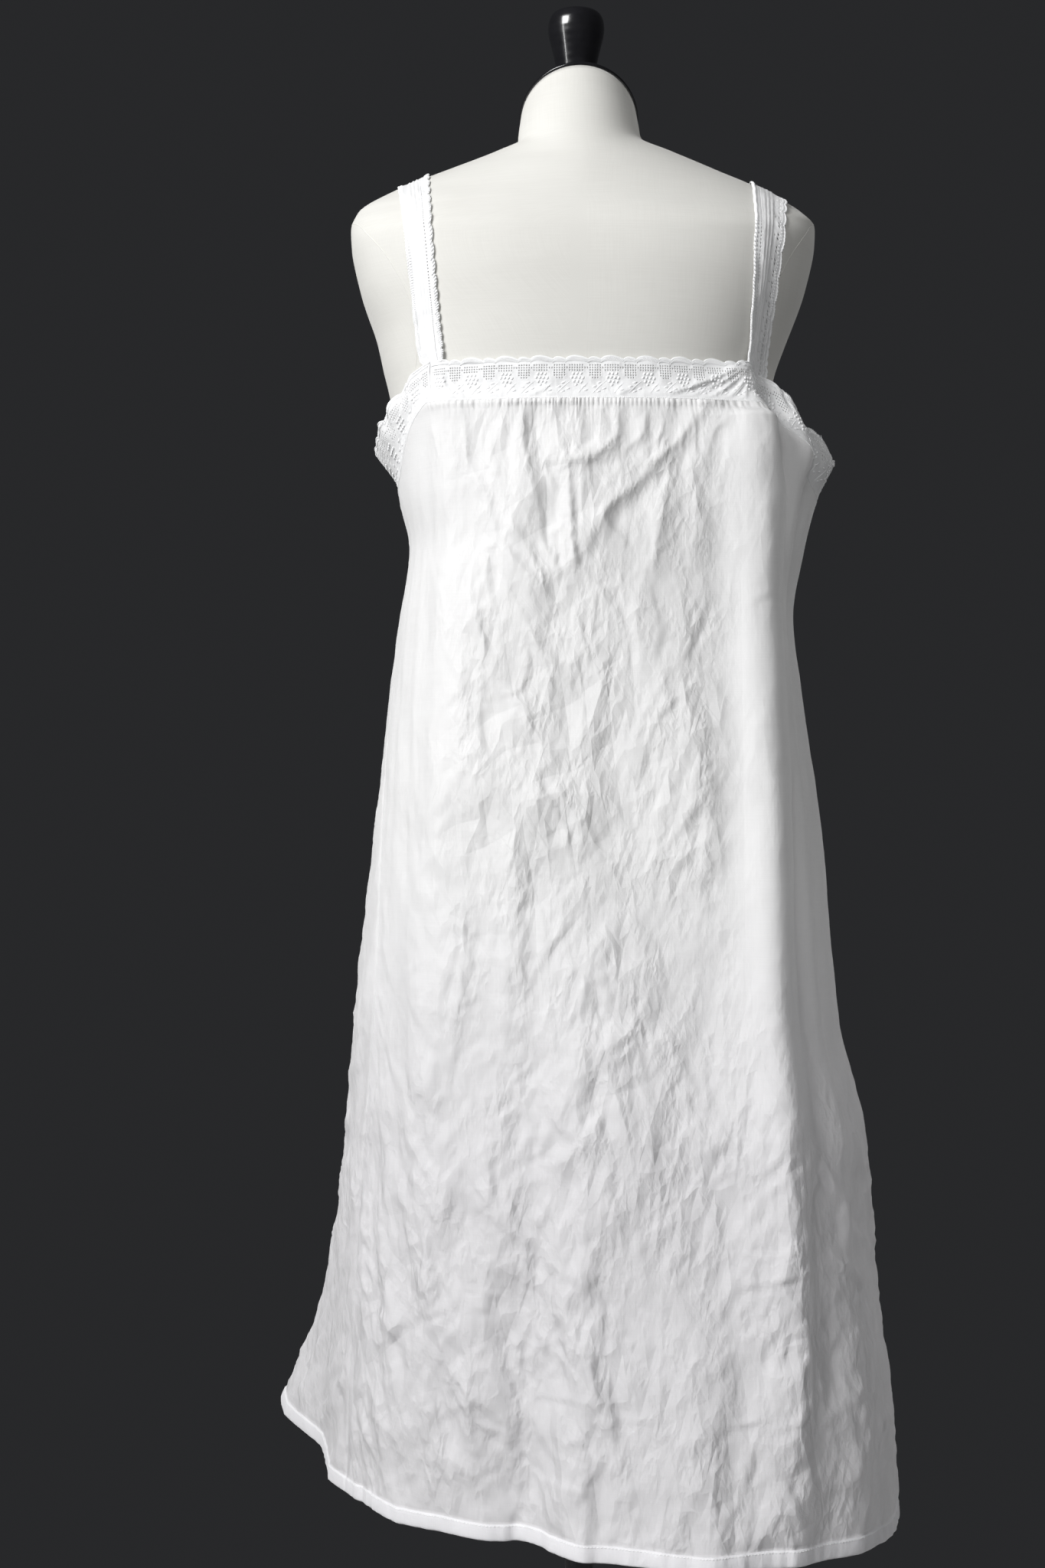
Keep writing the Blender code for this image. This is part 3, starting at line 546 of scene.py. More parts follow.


# The skirt's two panels

# Creases of the back panel: half width and height (a trough is negative) in mm, how
# much of the height sinks again on the right of the crest, then points as (across, up) in mm.
backCreases = [
    # under the gathers
    (8, 2.4, 0.6, (29, 1212), (29, 1192), (0, 1169), (-21, 1168)),
    (6, 1.8, 0.5, (52, 1209), (50, 1192), (33, 1175)),
    (9, 2.6, 0.7, (98, 1209), (79, 1185), (57, 1164), (46, 1150), (18, 1125), (2, 1094)),
    (5, 2.2, 0.8, (-12, 1165), (-10, 1122), (-7, 1082)),
    (7, -1.6, 0.0, (-17, 1160), (-22, 1122), (-20, 1090)),
    (8, 1.8, 0.7, (-50, 1209), (-51, 1190), (-44, 1161), (-37, 1137)),
    (4, 1.2, 0.8, (-35, 1176), (-24, 1144)),
    (6, 2.4, 0.8, (-98, 1209), (-96, 1175), (-79, 1137), (-69, 1102), (-44, 1073), (-29, 1056)),
    (5, 1.6, 0.8, (-78, 1127), (-54, 1108), (-41, 1085), (-28, 1062)), (5, 1.2, 0.6, (14, 1123), (37, 1096)),
    (5, 1.6, 0.7, (-2, 1082), (25, 1047), (33, 1030)), (7, 1.6, 0.6, (121, 1204), (108, 1193), (101, 1160)),
    (5, 1.6, 0.7, (-92, 1064), (-85, 1037), (-78, 1002)), (5, 1.8, 0.8, (-78, 1099), (-76, 1052)),
    (4, 1.2, 0.3, (-91, 1066), (-87, 1086), (-78, 1099)),
    (5, 1.6, 0.7, (-74, 1095), (-42, 1025), (-21, 994), (1, 960)),
    (4, 1.8, 0.9, (-5, 1040), (1, 1018), (9, 989)), (4, 1.4, 0.9, (36, 1025), (37, 1006), (33, 988)),
    (4, 1.4, 0.8, (-35, 1125), (-33, 1103), (-21, 1076)), (3, 0.9, 0.8, (-28, 1105), (-16, 1114)),
    (3, 1.0, 0.8, (-23, 1094), (-21, 1072)), (3, 1.1, 0.9, (-9, 1098), (-3, 1080)),
    (4, 1.6, 0.9, (-50, 1014), (-45, 1003), (-52, 979), (-70, 972)), (4, 1.4, 0.8, (-49, 974), (-45, 945)),
    (4, 1.3, 0.9, (-35, 1010), (-23, 974)), (3, 0.8, 0.8, (59, 1091), (71, 1100)),
    (4, 1.3, 0.8, (83, 1006), (92, 1025), (104, 1057)), (4, 1.2, 0.8, (62, 955), (79, 973)),
    (3, 1.0, 0.9, (49, 1020), (53, 1006)), (3, 0.7, 0.8, (134, 1047), (146, 1062)),
    (5, 1.0, 0.8, (-84, 999), (-83, 971)), (9, 1.5, 0.5, (70, 1150), (62, 1110), (58, 1070)),
    (9, -1.3, 0.3, (88, 1160), (84, 1110), (90, 1050)), (8, -1.4, 0.2, (-62, 1195), (-60, 1150), (-52, 1120)),
    (7, 1.2, 0.5, (-78, 1195), (-72, 1165), (-66, 1140)), (6, -1.2, 0.2, (12, 1205), (8, 1185), (-8, 1178)),
    (6, 1.2, 0.5, (70, 1206), (64, 1190), (58, 1182)), (5, 0.9, 0.6, (-20, 1052), (-12, 1010), (-8, 975)),
    (5, 0.9, 0.6, (55, 1060), (62, 1030), (60, 1000)),
    # middle
    (4, 1.5, 0.9, (-42, 906), (-25, 881), (-15, 861), (-9, 836)), (4, 1.1, 0.8, (-8, 832), (-2, 845)),
    (4, 1.5, 0.5, (-70, 813), (-58, 841), (-51, 872)), (4, 1.4, 0.9, (2, 872), (11, 849), (18, 832)),
    (4, 1.4, 0.8, (-50, 725), (-31, 761), (-10, 788)), (5, 1.4, 0.7, (56, 832), (75, 858), (98, 886)),
    (4, 1.2, 0.8, (-62, 809), (-45, 781)), (4, 1.2, 0.8, (-65, 766), (-60, 718)),
    (3, 0.8, 0.8, (-31, 816), (-18, 815)), (4, 1.2, 0.9, (15, 755), (21, 715)),
    (4, 1.2, 0.8, (1, 743), (-3, 709)), (4, 1.3, 0.9, (38, 795), (61, 761), (66, 729)),
    (4, 1.0, 0.7, (-101, 832), (-91, 846)), (4, 1.0, 0.7, (-92, 812), (-82, 832)),
    (5, 0.9, 0.7, (-147, 738), (-128, 755)), (4, 1.0, 0.8, (-142, 635), (-138, 658)),
    (4, 1.3, 0.9, (-67, 643), (-55, 660), (-41, 669)), (4, 1.2, 0.9, (-27, 718), (-20, 669)),
    (4, 1.2, 0.8, (-4, 643), (6, 663)), (4, 1.2, 0.9, (21, 685), (46, 702)),
    (4, 1.0, 0.8, (72, 633), (98, 663)), (4, 1.0, 0.8, (49, 643), (39, 672)),
    (5, 1.2, 0.8, (-108, 789), (-103, 761), (-94, 729)), (4, 1.1, 0.8, (-100, 715), (-81, 728)),
    (4, 1.1, 0.8, (86, 709), (98, 755)), (4, 0.9, 0.8, (72, 743), (75, 718)),
    (4, 1.1, 0.8, (-54, 663), (-45, 629)), (9, 1.2, 0.7, (-80, 863), (-78, 906), (-82, 950)),
    (6, 1.1, 0.7, (40, 930), (52, 900), (50, 868)), (6, 1.1, 0.7, (80, 930), (90, 905), (88, 880)),
    (7, 1.2, 0.7, (-120, 700), (-122, 660), (-117, 620)), (5, 1.0, 0.7, (28, 905), (35, 880), (38, 850)),
    # lower part
    (4, 1.3, 0.8, (-11, 557), (-22, 520), (-33, 487)), (4, 1.3, 0.8, (-4, 547), (17, 503)),
    (4, 1.3, 0.8, (-28, 460), (-16, 510)), (5, 1.5, 0.9, (-11, 490), (-13, 446), (-1, 409)),
    (4, 1.3, 0.9, (14, 487), (13, 456)), (5, 1.5, 0.9, (6, 450), (9, 413)),
    (4, 1.4, 0.8, (-68, 445), (-58, 460), (-38, 473)), (4, 1.1, 0.8, (-100, 487), (-63, 482)),
    (4, 1.2, 0.8, (44, 487), (64, 510), (88, 530)), (4, 1.1, 0.8, (122, 525), (148, 522), (174, 529)),
    (4, 1.3, 0.8, (125, 498), (152, 503), (177, 510)), (4, 1.4, 0.8, (152, 470), (138, 443), (155, 419)),
    (5, 1.3, 0.8, (179, 406), (201, 429)), (5, 1.4, 0.8, (142, 386), (169, 396), (189, 413)),
    (5, 1.4, 0.8, (105, 389), (125, 393), (145, 398)), (5, 1.4, 0.8, (100, 386), (105, 352), (103, 288)),
    (5, 1.5, 0.8, (117, 322), (130, 359), (138, 386)), (5, 1.3, 0.8, (7, 389), (31, 393), (71, 396)),
    (4, 1.2, 0.8, (38, 342), (24, 302)), (4, 1.2, 0.8, (64, 346), (56, 319)),
    (4, 1.2, 0.8, (-13, 386), (2, 362), (-3, 332)), (4, 1.2, 0.8, (-43, 403), (1, 406)),
    (4, 1.3, 0.8, (-63, 356), (-33, 336), (1, 336)), (4, 1.2, 0.8, (-87, 379), (-60, 369)),
    (5, 1.3, 0.8, (-124, 369), (-104, 386), (-83, 396)), (4, 1.2, 0.8, (-132, 396), (-137, 366)),
    (5, 1.2, 0.8, (-184, 476), (-161, 433)), (6, 1.4, 0.7, (-198, 507), (-177, 460)),
    (4, 1.2, 0.8, (-137, 473), (-114, 492)), (4, 1.2, 0.8, (-132, 456), (-100, 473)),
    (4, 1.2, 0.8, (-70, 429), (-33, 406)), (4, 1.2, 0.8, (78, 406), (75, 372)),
    (5, 1.3, 0.8, (189, 433), (190, 386)), (4, 1.1, 0.9, (-90, 403), (-90, 329)),
    (4, 1.2, 0.8, (54, 473), (38, 480)), (4, 1.1, 0.8, (132, 332), (125, 295)),
    (4, 1.2, 0.8, (-46, 520), (-43, 476)), (4, 1.2, 0.8, (-73, 577), (-80, 534)),
    (4, 1.0, 0.8, (-134, 571), (-137, 530)), (4, 1.1, 0.8, (-107, 560), (-114, 524)),
    (4, 1.1, 0.8, (41, 537), (48, 503)), (4, 1.1, 0.8, (-60, 560), (-50, 530)),
]

# The front panel's creases are of the same kind, and hang from its own gathers.
frontCreases = [
    (8, 2.2, 0.6, (-40, 1196), (-32, 1170), (-10, 1150), (0, 1110)),
    (7, 2.0, 0.6, (52, 1196), (40, 1166), (14, 1146), (2, 1120)),
    (8, 2.2, 0.7, (92, 1196), (84, 1150), (60, 1110), (36, 1070), (20, 1020)),
    (8, 2.0, 0.7, (-96, 1196), (-84, 1148), (-58, 1104), (-30, 1060)),
    (6, -1.5, 0.2, (14, 1196), (10, 1160), (16, 1120)), (6, 1.6, 0.8, (-66, 1130), (-40, 1090), (-22, 1046)),
    (5, 1.5, 0.8, (70, 1060), (58, 1020), (62, 980)), (5, 1.5, 0.8, (-84, 1040), (-70, 1000), (-60, 955)),
    (5, 1.4, 0.8, (8, 1070), (-4, 1030), (6, 985)), (5, 1.4, 0.8, (96, 1010), (84, 968), (90, 930)),
    (4, 1.2, 0.8, (-20, 1000), (-34, 964), (-30, 930)), (4, 1.3, 0.8, (34, 960), (20, 920), (28, 880)),
    (4, 1.3, 0.8, (-74, 930), (-60, 890), (-66, 850)), (5, 1.3, 0.8, (66, 880), (80, 840), (72, 800)),
    (4, 1.3, 0.8, (-14, 880), (-2, 840), (-12, 800)), (4, 1.2, 0.8, (108, 850), (96, 812), (100, 770)),
    (4, 1.2, 0.8, (-110, 850), (-98, 806), (-106, 770)), (4, 1.2, 0.8, (30, 800), (44, 764), (40, 730)),
    (4, 1.2, 0.8, (-50, 790), (-40, 750), (-48, 712)), (4, 1.3, 0.8, (-90, 740), (-72, 710), (-76, 672)),
    (4, 1.3, 0.8, (86, 730), (70, 700), (76, 660)), (4, 1.2, 0.8, (0, 730), (12, 690), (6, 650)),
    (5, 1.3, 0.8, (-34, 660), (-14, 630), (-22, 590)), (5, 1.3, 0.8, (48, 650), (34, 610), (46, 575)),
    (5, 1.3, 0.8, (120, 640), (106, 600), (114, 560)), (5, 1.3, 0.8, (-120, 640), (-104, 600), (-112, 560)),
    (5, 1.4, 0.8, (-66, 580), (-50, 540), (-58, 500)), (5, 1.4, 0.8, (74, 560), (60, 520), (68, 480)),
    (5, 1.4, 0.8, (6, 550), (-8, 505), (4, 465)), (5, 1.3, 0.8, (-140, 520), (-118, 500), (-96, 505)),
    (5, 1.3, 0.8, (140, 500), (116, 480), (92, 488)), (5, 1.4, 0.8, (-30, 460), (-10, 440), (20, 446)),
    (5, 1.4, 0.8, (-90, 450), (-76, 410), (-84, 370)), (5, 1.4, 0.8, (98, 440), (84, 400), (94, 352)),
    (5, 1.3, 0.8, (44, 410), (30, 372), (40, 330)), (5, 1.3, 0.8, (-24, 390), (-36, 350), (-26, 312)),
    (5, 1.3, 0.8, (150, 400), (134, 364), (142, 322)), (5, 1.3, 0.8, (-150, 400), (-136, 362), (-144, 324)),
    (4, 1.2, 0.8, (0, 360), (24, 350), (56, 356)),
]

# Broad swells and hollows of the back: half width on the left and on the right in mm, then points as
# (across, up, height), all in mm.
backSwells = [
    # the corner where the back turns to the right side
    (24, 17, (136, 1225, 9), (141, 1180, 13), (144, 1140, 15), (146, 1066, 18), (146, 978, 20), (148, 915, 21),
     (150, 820, 21), (152, 726, 19), (160, 632, 16), (165, 537, 13), (167, 443, 10), (168, 290, 6)),
    # a narrow pleat beside it
    (9, 5, (154, 1222, 5), (160, 1140, 6), (164, 1066, 6), (167, 978, 5), (170, 900, 3), (172, 800, 0)),
    # the hollow left of it, and the fullness on the left
    (52, 42, (0, 1110, 0), (4, 1020, -7), (14, 940, -11), (44, 840, -12), (74, 740, -12), (86, 600, -12),
     (84, 450, -10), (80, 300, -7)),
    (36, 38, (-90, 1140, 0), (-93, 1050, 5), (-100, 900, 8), (-108, 700, 8), (-116, 500, 6), (-122, 300, 5)),
]
frontSwells = [
    (34, 34, (-60, 1150, 0), (-64, 1050, 5), (-70, 850, 7), (-78, 600, 6), (-84, 300, 4)),
    (30, 36, (66, 1150, 0), (70, 1050, 5), (78, 850, 6), (84, 600, 6), (92, 300, 4)),
    (44, 44, (0, 1100, 0), (4, 1000, -3), (0, 800, -5), (6, 550, -5), (2, 300, -3)),
]

skirt = {
    "gathers": 70,
    "gatherHeight": 1.25,  # mm, of each tuck in the heading under the lace
    "headingLength": 6.2,  # mm, from the seam to the second row of stitches
    "gatherFade": 9.0,  # mm
    "softFolds": 2.2,  # mm, height of the longer soft folds that leave the gathers
    "fineFolds": 1.6,  # mm, height of the short ones between them
    "hemWidth": 14.0,  # mm
    "hemStep": 0.9,  # mm, how far the turned hem stands out
    "hemPucker": 0.5,  # mm
    # the turned hem, out over its fold, under, and up inside to its raw edge: shares of its width and step
    "hemProfile": [(0.03, 0.8), (0.12, 1.0), (0.3, 1.25), (0.5, 1.35), (0.7, 1.3), (0.88, 1.1), (0.97, 0.7),
                   (1.0, 0.0), (0.97, -0.6), (0.88, -0.9), (0.6, -1.0), (0.3, -0.9), (0.04, -0.7)],
    "stitchPitch": 2.8, "stitchSize": (1.1, 0.35, 0.4),  # mm
    "topLength": 0.046,  # m, the finely divided top, with three columns for one
    "topRows": 24, "rows": 326, "frontRows": 250, "sideColumns": 40, "gatheredColumns": 144,
    "seamGap": 0.06,  # degrees, between a side seam and each panel
    "beyondSeam": (0.16, 1.0, 1.96),  # degrees, the front panel's edges go on under the back panel's
    "underSeam": 1.5,  # mm, how far in they lie
    # size of the facets across and along, height, all in mm, and the turn in degrees
    "crumple": [(52, 105, 5.5, 8), (30, 66, 4.2, -18), (17, 40, 3.0, 24), (9, 19, 1.5, -34)],
    "creaseHeight": 1.2, "creaseWidth": 0.85,  # shares of the sizes in the tables
    "seamPucker": 0.8, "sideRipple": 0.9,  # mm
    "deepest": 6.0,  # mm, how far a hollow may sink towards the form
}


def crumple(across, along, seed):
    # crumpled cloth: flat facets between sharp creases, at several sizes; mm in and out
    total = 0
    for k, (wide, tall, high, turn) in enumerate(skirt["crumple"]):
        c, s = math.cos(math.radians(turn)), math.sin(math.radians(turn))
        x, y = (c * across + s * along) / wide, (c * along - s * across) / tall
        bendX = 0.9 * (noise(x * 0.8, y * 0.8, seed + 40 + k) - 0.5)
        bendY = 0.9 * (noise(x * 0.8 + 9, y * 0.8, seed + 60 + k) - 0.5)
        patch = 0.3 + 1.4 * noise(x * 0.45, y * 0.45 + 7, seed + 80 + k)
        ridges = 0.2 - np.abs(facets(x + bendY, y + bendX, seed + 20 + k))  # sharp crests
        total = total + high * patch * (0.65 * facets(x + bendX, y + bendY, seed + k) + 0.85 * ridges)
    return total


def creaseRelief(creases, across, up):
    # what the listed creases add, in mm, at points given as (across, up) in mm
    total = np.zeros(across.shape)
    for width, height, sink, *path in creases:
        path = np.array(path, float)
        corners = np.arange(len(path))
        at = np.linspace(0, len(path) - 1, 12 * (len(path) - 1) + 1)
        line = np.stack([flow(at, corners, path[:, k]) for k in (0, 1)], axis=1)
        calm = 0.75 + 0.25 * smooth(1000, 1090, path[:, 1].mean())  # finer below the gathers' folds
        width = width * skirt["creaseWidth"] * (0.3 + 0.7 * calm)
        height = height * skirt["creaseHeight"] * calm
        low, high = line.min(0) - 4 * width, line.max(0) + 4 * width
        near = (across > low[0]) & (across < high[0]) & (up > low[1]) & (up < high[1])
        if not near.any():
            continue
        offset = np.stack((across[near], up[near]), axis=1)[:, None] - line[None]
        distance = np.hypot(offset[..., 0], offset[..., 1])
        nearest = distance.argmin(1)
        run = np.gradient(line, axis=0)[nearest]
        beside = offset[np.arange(len(offset)), nearest]
        side = np.sign(run[:, 0] * beside[:, 1] - run[:, 1] * beside[:, 0])
        side = side * np.sign(-run[:, 1] + 1e-9)  # positive on the right of the crest
        away = side * distance.min(1)
        taper = np.sin(np.pi * np.clip(nearest / (len(line) - 1) * 0.92 + 0.04, 0, 1)) ** 0.6
        soften = 0.18 * width
        spread = np.where(away < 0, 1.35, 0.5) * width  # gentle on the left, steep on the right
        crest = np.exp(-(np.sqrt(away**2 + soften**2) - soften) / spread)
        total[near] += height * taper * (crest - 0.55 * sink * bell(away - 1.5 * width, 1.1 * width))
    return total


def swellRelief(swells, across, up):
    total = np.zeros(across.shape)
    for left, right, *line in swells:
        line = np.array(line, float)[::-1]
        centre, height = (flow(up, line[:, 1], line[:, k]) for k in (0, 2))
        away = across - centre
        total = total + height * bell(away, np.where(away < 0, left, right))
    return total


def makePanel(name, node, sides, gathered, creases, swells, seed, facing):
    # facing is 1 where left on the panel is -X, as on the back, and -1 on the front
    back = facing > 0
    length = dress["rim"][0][1] - dress["hemHeight"]
    hemTop = 1 - skirt["hemWidth"] * mm / length
    fine = np.linspace(0, skirt["topLength"] / length, skirt["topRows"] + 1)
    coarse = np.linspace(fine[-1], hemTop, skirt["rows" if back else "frontRows"] + 1)
    beyond = np.array([] if back else skirt["beyondSeam"])

    def surface(downs, gatheredColumns):
        counts = (skirt["sideColumns"], gatheredColumns, skirt["sideColumns"])
        angles = []
        for down in downs:
            start = float(sideSeam(down, sides[0])) + skirt["seamGap"]
            end = float(sideSeam(down, sides[1])) + (0 if back else 360) - skirt["seamGap"]
            ends = (start, *gathered, end)
            inner = [np.linspace(a, b, n, endpoint=False) for a, b, n in zip(ends, ends[1:], counts)]
            angles.append(np.concatenate((start - beyond[::-1], *inner, [end], end + beyond)))
        angles, downs = np.array(angles), np.array(downs)[:, None]
        seam = rimHeight(angles, "seam") - 0.3 * mm
        z = seam - downs * (seam - dress["hemHeight"])
        points = dressPoint(angles, z)
        sideways = dressPoint(angles + 0.2, z) - dressPoint(angles - 0.2, z)
        upward = dressPoint(angles, z + mm) - dressPoint(angles, z - mm)
        normal = unit(np.cross(sideways, upward))
        run = np.linalg.norm(np.diff(points, axis=1), axis=-1)
        along = np.concatenate((np.zeros((len(downs), 1)), np.cumsum(run, axis=1)), axis=1)
        along = along - along[:, [along.shape[1] // 2]]
        share = (angles - gathered[0]) / (gathered[1] - gathered[0])
        x = facing * points[..., 0]
        relief = panelRelief(share, along / mm, (seam - z) / mm, x / mm, z / mm, downs)
        return points + normal * (relief * mm)[..., None], along, angles, normal

    def panelRelief(share, along, below, x, up, down):
        # mm out of the smooth hang, for shares along the gathers and down, and lengths in mm
        inside = smooth(-0.02, 0.02, share) * smooth(1.02, 0.98, share)
        phase = share * skirt["gathers"]
        level = 0 * phase
        past = below - skirt["headingLength"]
        wander = 0.7 * (noise(phase * 0.9, below / 30, seed + 11) - 0.5)
        tuck = np.abs(np.sin(np.pi * (phase + wander))) ** 0.6
        uneven = 0.6 + 0.8 * noise(phase * 1.1, level + 3.3, seed + 12)
        heading = smooth(-1.0, 1.6, below) * (1 - 0.8 * bell(past, 1.1)) * (1 - 0.6 * smooth(-0.5, 1, past))
        reach = skirt["gatherFade"] * (0.2 + 2.0 * noise(phase * 0.6, level, seed + 14) ** 4)
        fading = np.exp(-np.clip(past, 0, None) / reach)
        total = skirt["gatherHeight"] * tuck * uneven * heading * fading * inside
        # longer soft folds that run on from some of the gathers
        slide = wander * 0.5 + 1.4 * (noise(phase / 14, below / 90, seed + 16) - 0.5)
        soft = 0.3 - np.abs(noise(phase / 5.5 + slide, below / 170, seed + 13) - 0.5) * 1.6
        short = noise(phase / 2.2 + slide, below / 60, seed + 15) - 0.5
        softPart = smooth(3, 22, below) * (1 - smooth(60, 210, below)) * inside
        shortPart = smooth(3, 12, below) * (1 - smooth(18, 70, below)) * inside
        total = total + skirt["softFolds"] * soft * softPart + skirt["fineFolds"] * short * shortPart
        # creases and crumples, calmer on the back's smooth left and right
        ridge = 1 - 0.7 * bell(x + 152, 34) * smooth(560, 760, up) * back
        ridge = ridge * (1 - 0.75 * smooth(96, 128, x) * smooth(520, 700, up) * back)
        amount = 0.3 + 0.5 * smooth(0.04, 0.4, down) + 0.5 * smooth(0.35, 0.7, down)
        rough = crumple(along, up, seed) * amount * smooth(4, 50, below) * ridge
        # puckers beside the side seams
        first, last = along[:, [len(beyond)]], along[:, [along.shape[1] - 1 - len(beyond)]]
        beside = np.minimum(along - first, last - along)
        pucker = noise(up / 5.5, 0 * up, 33) - 0.5
        total = total + skirt["seamPucker"] * pucker * np.exp(-np.clip(beside, 0, None) / 5)
        nearSeam = smooth(-2, 16, beside)
        hemFade = smooth(0, 26, up - dress["hemHeight"] / mm)
        placed = swellRelief(swells, x, up) + creaseRelief(creases, x, up)
        total = total + nearSeam * placed * smooth(2, 14, below)
        total = total + nearSeam * rough * (0.25 + 0.75 * hemFade)
        # fine upright ripples down the smooth sides
        streak = noise(along / 9, below / 260, seed + 21) - 0.5
        total = total + skirt["sideRipple"] * streak * (1.15 - ridge) * smooth(10, 60, below) * nearSeam
        deepest = skirt["deepest"] + 8 * smooth(1130, 1000, up)
        total = np.where(total < 0, deepest * (np.exp(np.minimum(total, 0) / deepest) - 1), total)
        return total - skirt["underSeam"] * smooth(-0.05, -0.3, beside)

    top, topAlong, _, _ = surface(fine, 3 * skirt["gatheredColumns"])
    main, mainAlong, angles, normal = surface(coarse, skirt["gatheredColumns"])
    columns, topColumns = main.shape[1], top.shape[1]

    # the hem is turned to the outside
    width, edge, run = skirt["hemWidth"] * mm, main[-1], mainAlong[-1]
    pucker = noise(run / mm / 5.2, 0 * run, seed + 31)[:, None] - 0.5
    lean = dressPoint(angles[-1], dress["hemHeight"]) - dressPoint(angles[-1], dress["hemHeight"] + width)
    hem, hemUv = [], []
    for share, out in skirt["hemProfile"]:
        wave = pucker * skirt["hemPucker"] * mm * (2.2 if 0.1 < share < 0.9 else 1.0)
        hem.append(edge + lean * share + normal[-1] * (out * skirt["hemStep"] * mm + wave))
        hemUv.append(pairs(run, np.full(columns, -dress["hemHeight"] - width * share)))
    points = np.vstack([part.reshape(-1, 3) for part in (top, main[1:], np.array(hem))])
    uv = np.vstack((pairs(topAlong, top[..., 2]), pairs(mainAlong[1:], main[1:, :, 2]), *hemUv))

    # faces of the fine top, a row from three columns to one, and the rest
    firstGather = skirt["sideColumns"] + len(beyond)
    lastGather = firstGather + 3 * skirt["gatheredColumns"]
    keep = [*range(firstGather), *range(firstGather, lastGather, 3), *range(lastGather, topColumns)]
    topCount = len(top) * topColumns
    between, wide = [], []
    for j, (this, after) in enumerate(zip(keep, keep[1:])):
        low, at = topCount + j, topCount - topColumns + this
        if after - this == 3:
            wide.append((at, low, low + 1, at + 3, at + 2, at + 1))
        else:
            between.append((at, low, low + 1, at + after - this))
    rest = gridQuads(len(main) - 1 + len(hem), columns, start=topCount)
    faces = [gridQuads(len(top), topColumns), np.array(between), np.array(wide), rest]
    panel = newPiece(name, points, faces, linen, "white_linen", uv, node)
    panel.data.materials.append(hemLinen)
    which = np.zeros(len(panel.data.polygons), np.int32)
    which[-len(hem) * (columns - 1):] = 1
    panel.data.polygons.foreach_set("material_index", which)

    # a row of stitches just under the fold of the hem
    s = np.arange(run[0] + 4 * mm, run[-1] - 4 * mm, skirt["stitchPitch"] * mm)
    centres, ahead, outward = (
        np.stack([np.interp(s + shift, run, line[:, k]) for k in range(3)], axis=1)
        for line, shift in ((hem[1], 0), (hem[1], mm), (normal[-1], 0)))
    sewn = blobs(centres, ahead - centres, outward, np.array(skirt["stitchSize"]) * mm, 6, 2)
    return panel, newPiece(name + "Stitches", *sewn, thread, "white_linen")


backPanel, backStitches = makePanel(
    "backPanel", "skirt_back", ("left", "right"), dress["backEnds"], backCreases, backSwells, 101, 1)
frontPanel, frontStitches = makePanel(
    "frontPanel", "skirt_front", ("right", "left"), dress["frontEnds"], frontCreases, frontSwells, 202, -1)
print("panels ready", len(backPanel.data.polygons), len(frontPanel.data.polygons))


# The dress form

form = {
    # half width, y of the sides, back and front, height of the sides, back and front, squareness
    "rings": [
        (0.138, 0.0, -0.098, 0.094, 0.815, 0.815, 0.815, 2.2),
        (0.154, 0.0, -0.112, 0.103, 0.84, 0.84, 0.84, 2.2), (0.158, 0.0, -0.117, 0.108, 0.9, 0.9, 0.9, 2.2),
        (0.144, 0.0, -0.103, 0.105, 0.985, 0.985, 0.985, 2.2),
        (0.124, 0.0, -0.083, 0.095, 1.065, 1.065, 1.065, 2.2),
        (0.134, 0.0, -0.092, 0.11, 1.125, 1.125, 1.125, 2.3),
        (0.147, 0.0, -0.1, 0.123, 1.165, 1.165, 1.165, 2.3),
        (0.159, 0.0, -0.106, 0.128, 1.205, 1.205, 1.205, 2.4),
        (0.169, 0.0, -0.1095, 0.116, 1.25, 1.25, 1.25, 2.5),
        (0.179, 0.0, -0.1105, 0.105, 1.285, 1.29, 1.285, 2.5),
        (0.194, -0.004, -0.1095, 0.093, 1.328, 1.333, 1.32, 2.5),
        (0.202, -0.007, -0.104, 0.081, 1.365, 1.369, 1.35, 2.5),
        (0.203, -0.009, -0.098, 0.073, 1.3835, 1.3825, 1.3695, 2.2),
        (0.195, -0.01, -0.092, 0.065, 1.398, 1.394, 1.384, 1.9),
        (0.162, -0.01, -0.084, 0.056, 1.418, 1.409, 1.398, 1.7),
        (0.121, -0.008, -0.0755, 0.05, 1.435, 1.426, 1.411, 1.65),
        (0.079, -0.005, -0.067, 0.048, 1.452, 1.439, 1.423, 1.75),
        (0.055, 0.0, -0.058, 0.054, 1.462, 1.456, 1.433, 2.0),
        (0.053, 0.01, -0.045, 0.066, 1.477, 1.492, 1.4455, 2.0),
        (0.0515, 0.022, -0.0288, 0.0728, 1.4887, 1.5243, 1.4531, 2.0),
    ],
    # height, then how far to the right
    "shift": [(1.26, 0.0), (1.30, 0.0025), (1.385, 0.0028), (1.405, -0.001), (1.43, 0.001), (1.45, 0.0035),
              (1.47, 0.0), (1.60, 0.0)],
    "around": 180, "perRing": 8,
    "footShares": (0.55, 0.96), "topShare": 0.6,  # of the end rings, where the cover rolls in
}


def formRing(level, segments):
    rings = np.array(form["rings"])
    half, ySide, yBack, yFront, zSide, zBack, zFront, square = (
        flow(level, np.arange(len(rings)), column) for column in rings.T)
    sine, cosine = np.sin(turns(segments)), np.cos(turns(segments))
    x = half * np.sign(sine) * np.abs(sine) ** (2 / square) + flow(zSide, *zip(*form["shift"]))
    share = np.abs(cosine) ** (2 / square)
    y = ySide + share * np.where(cosine > 0, yBack - ySide, yFront - ySide)
    z = zSide + cosine * (zBack - zFront) / 2 + cosine**2 * ((zBack + zFront) / 2 - zSide)
    return np.stack((x, y, z), axis=-1)


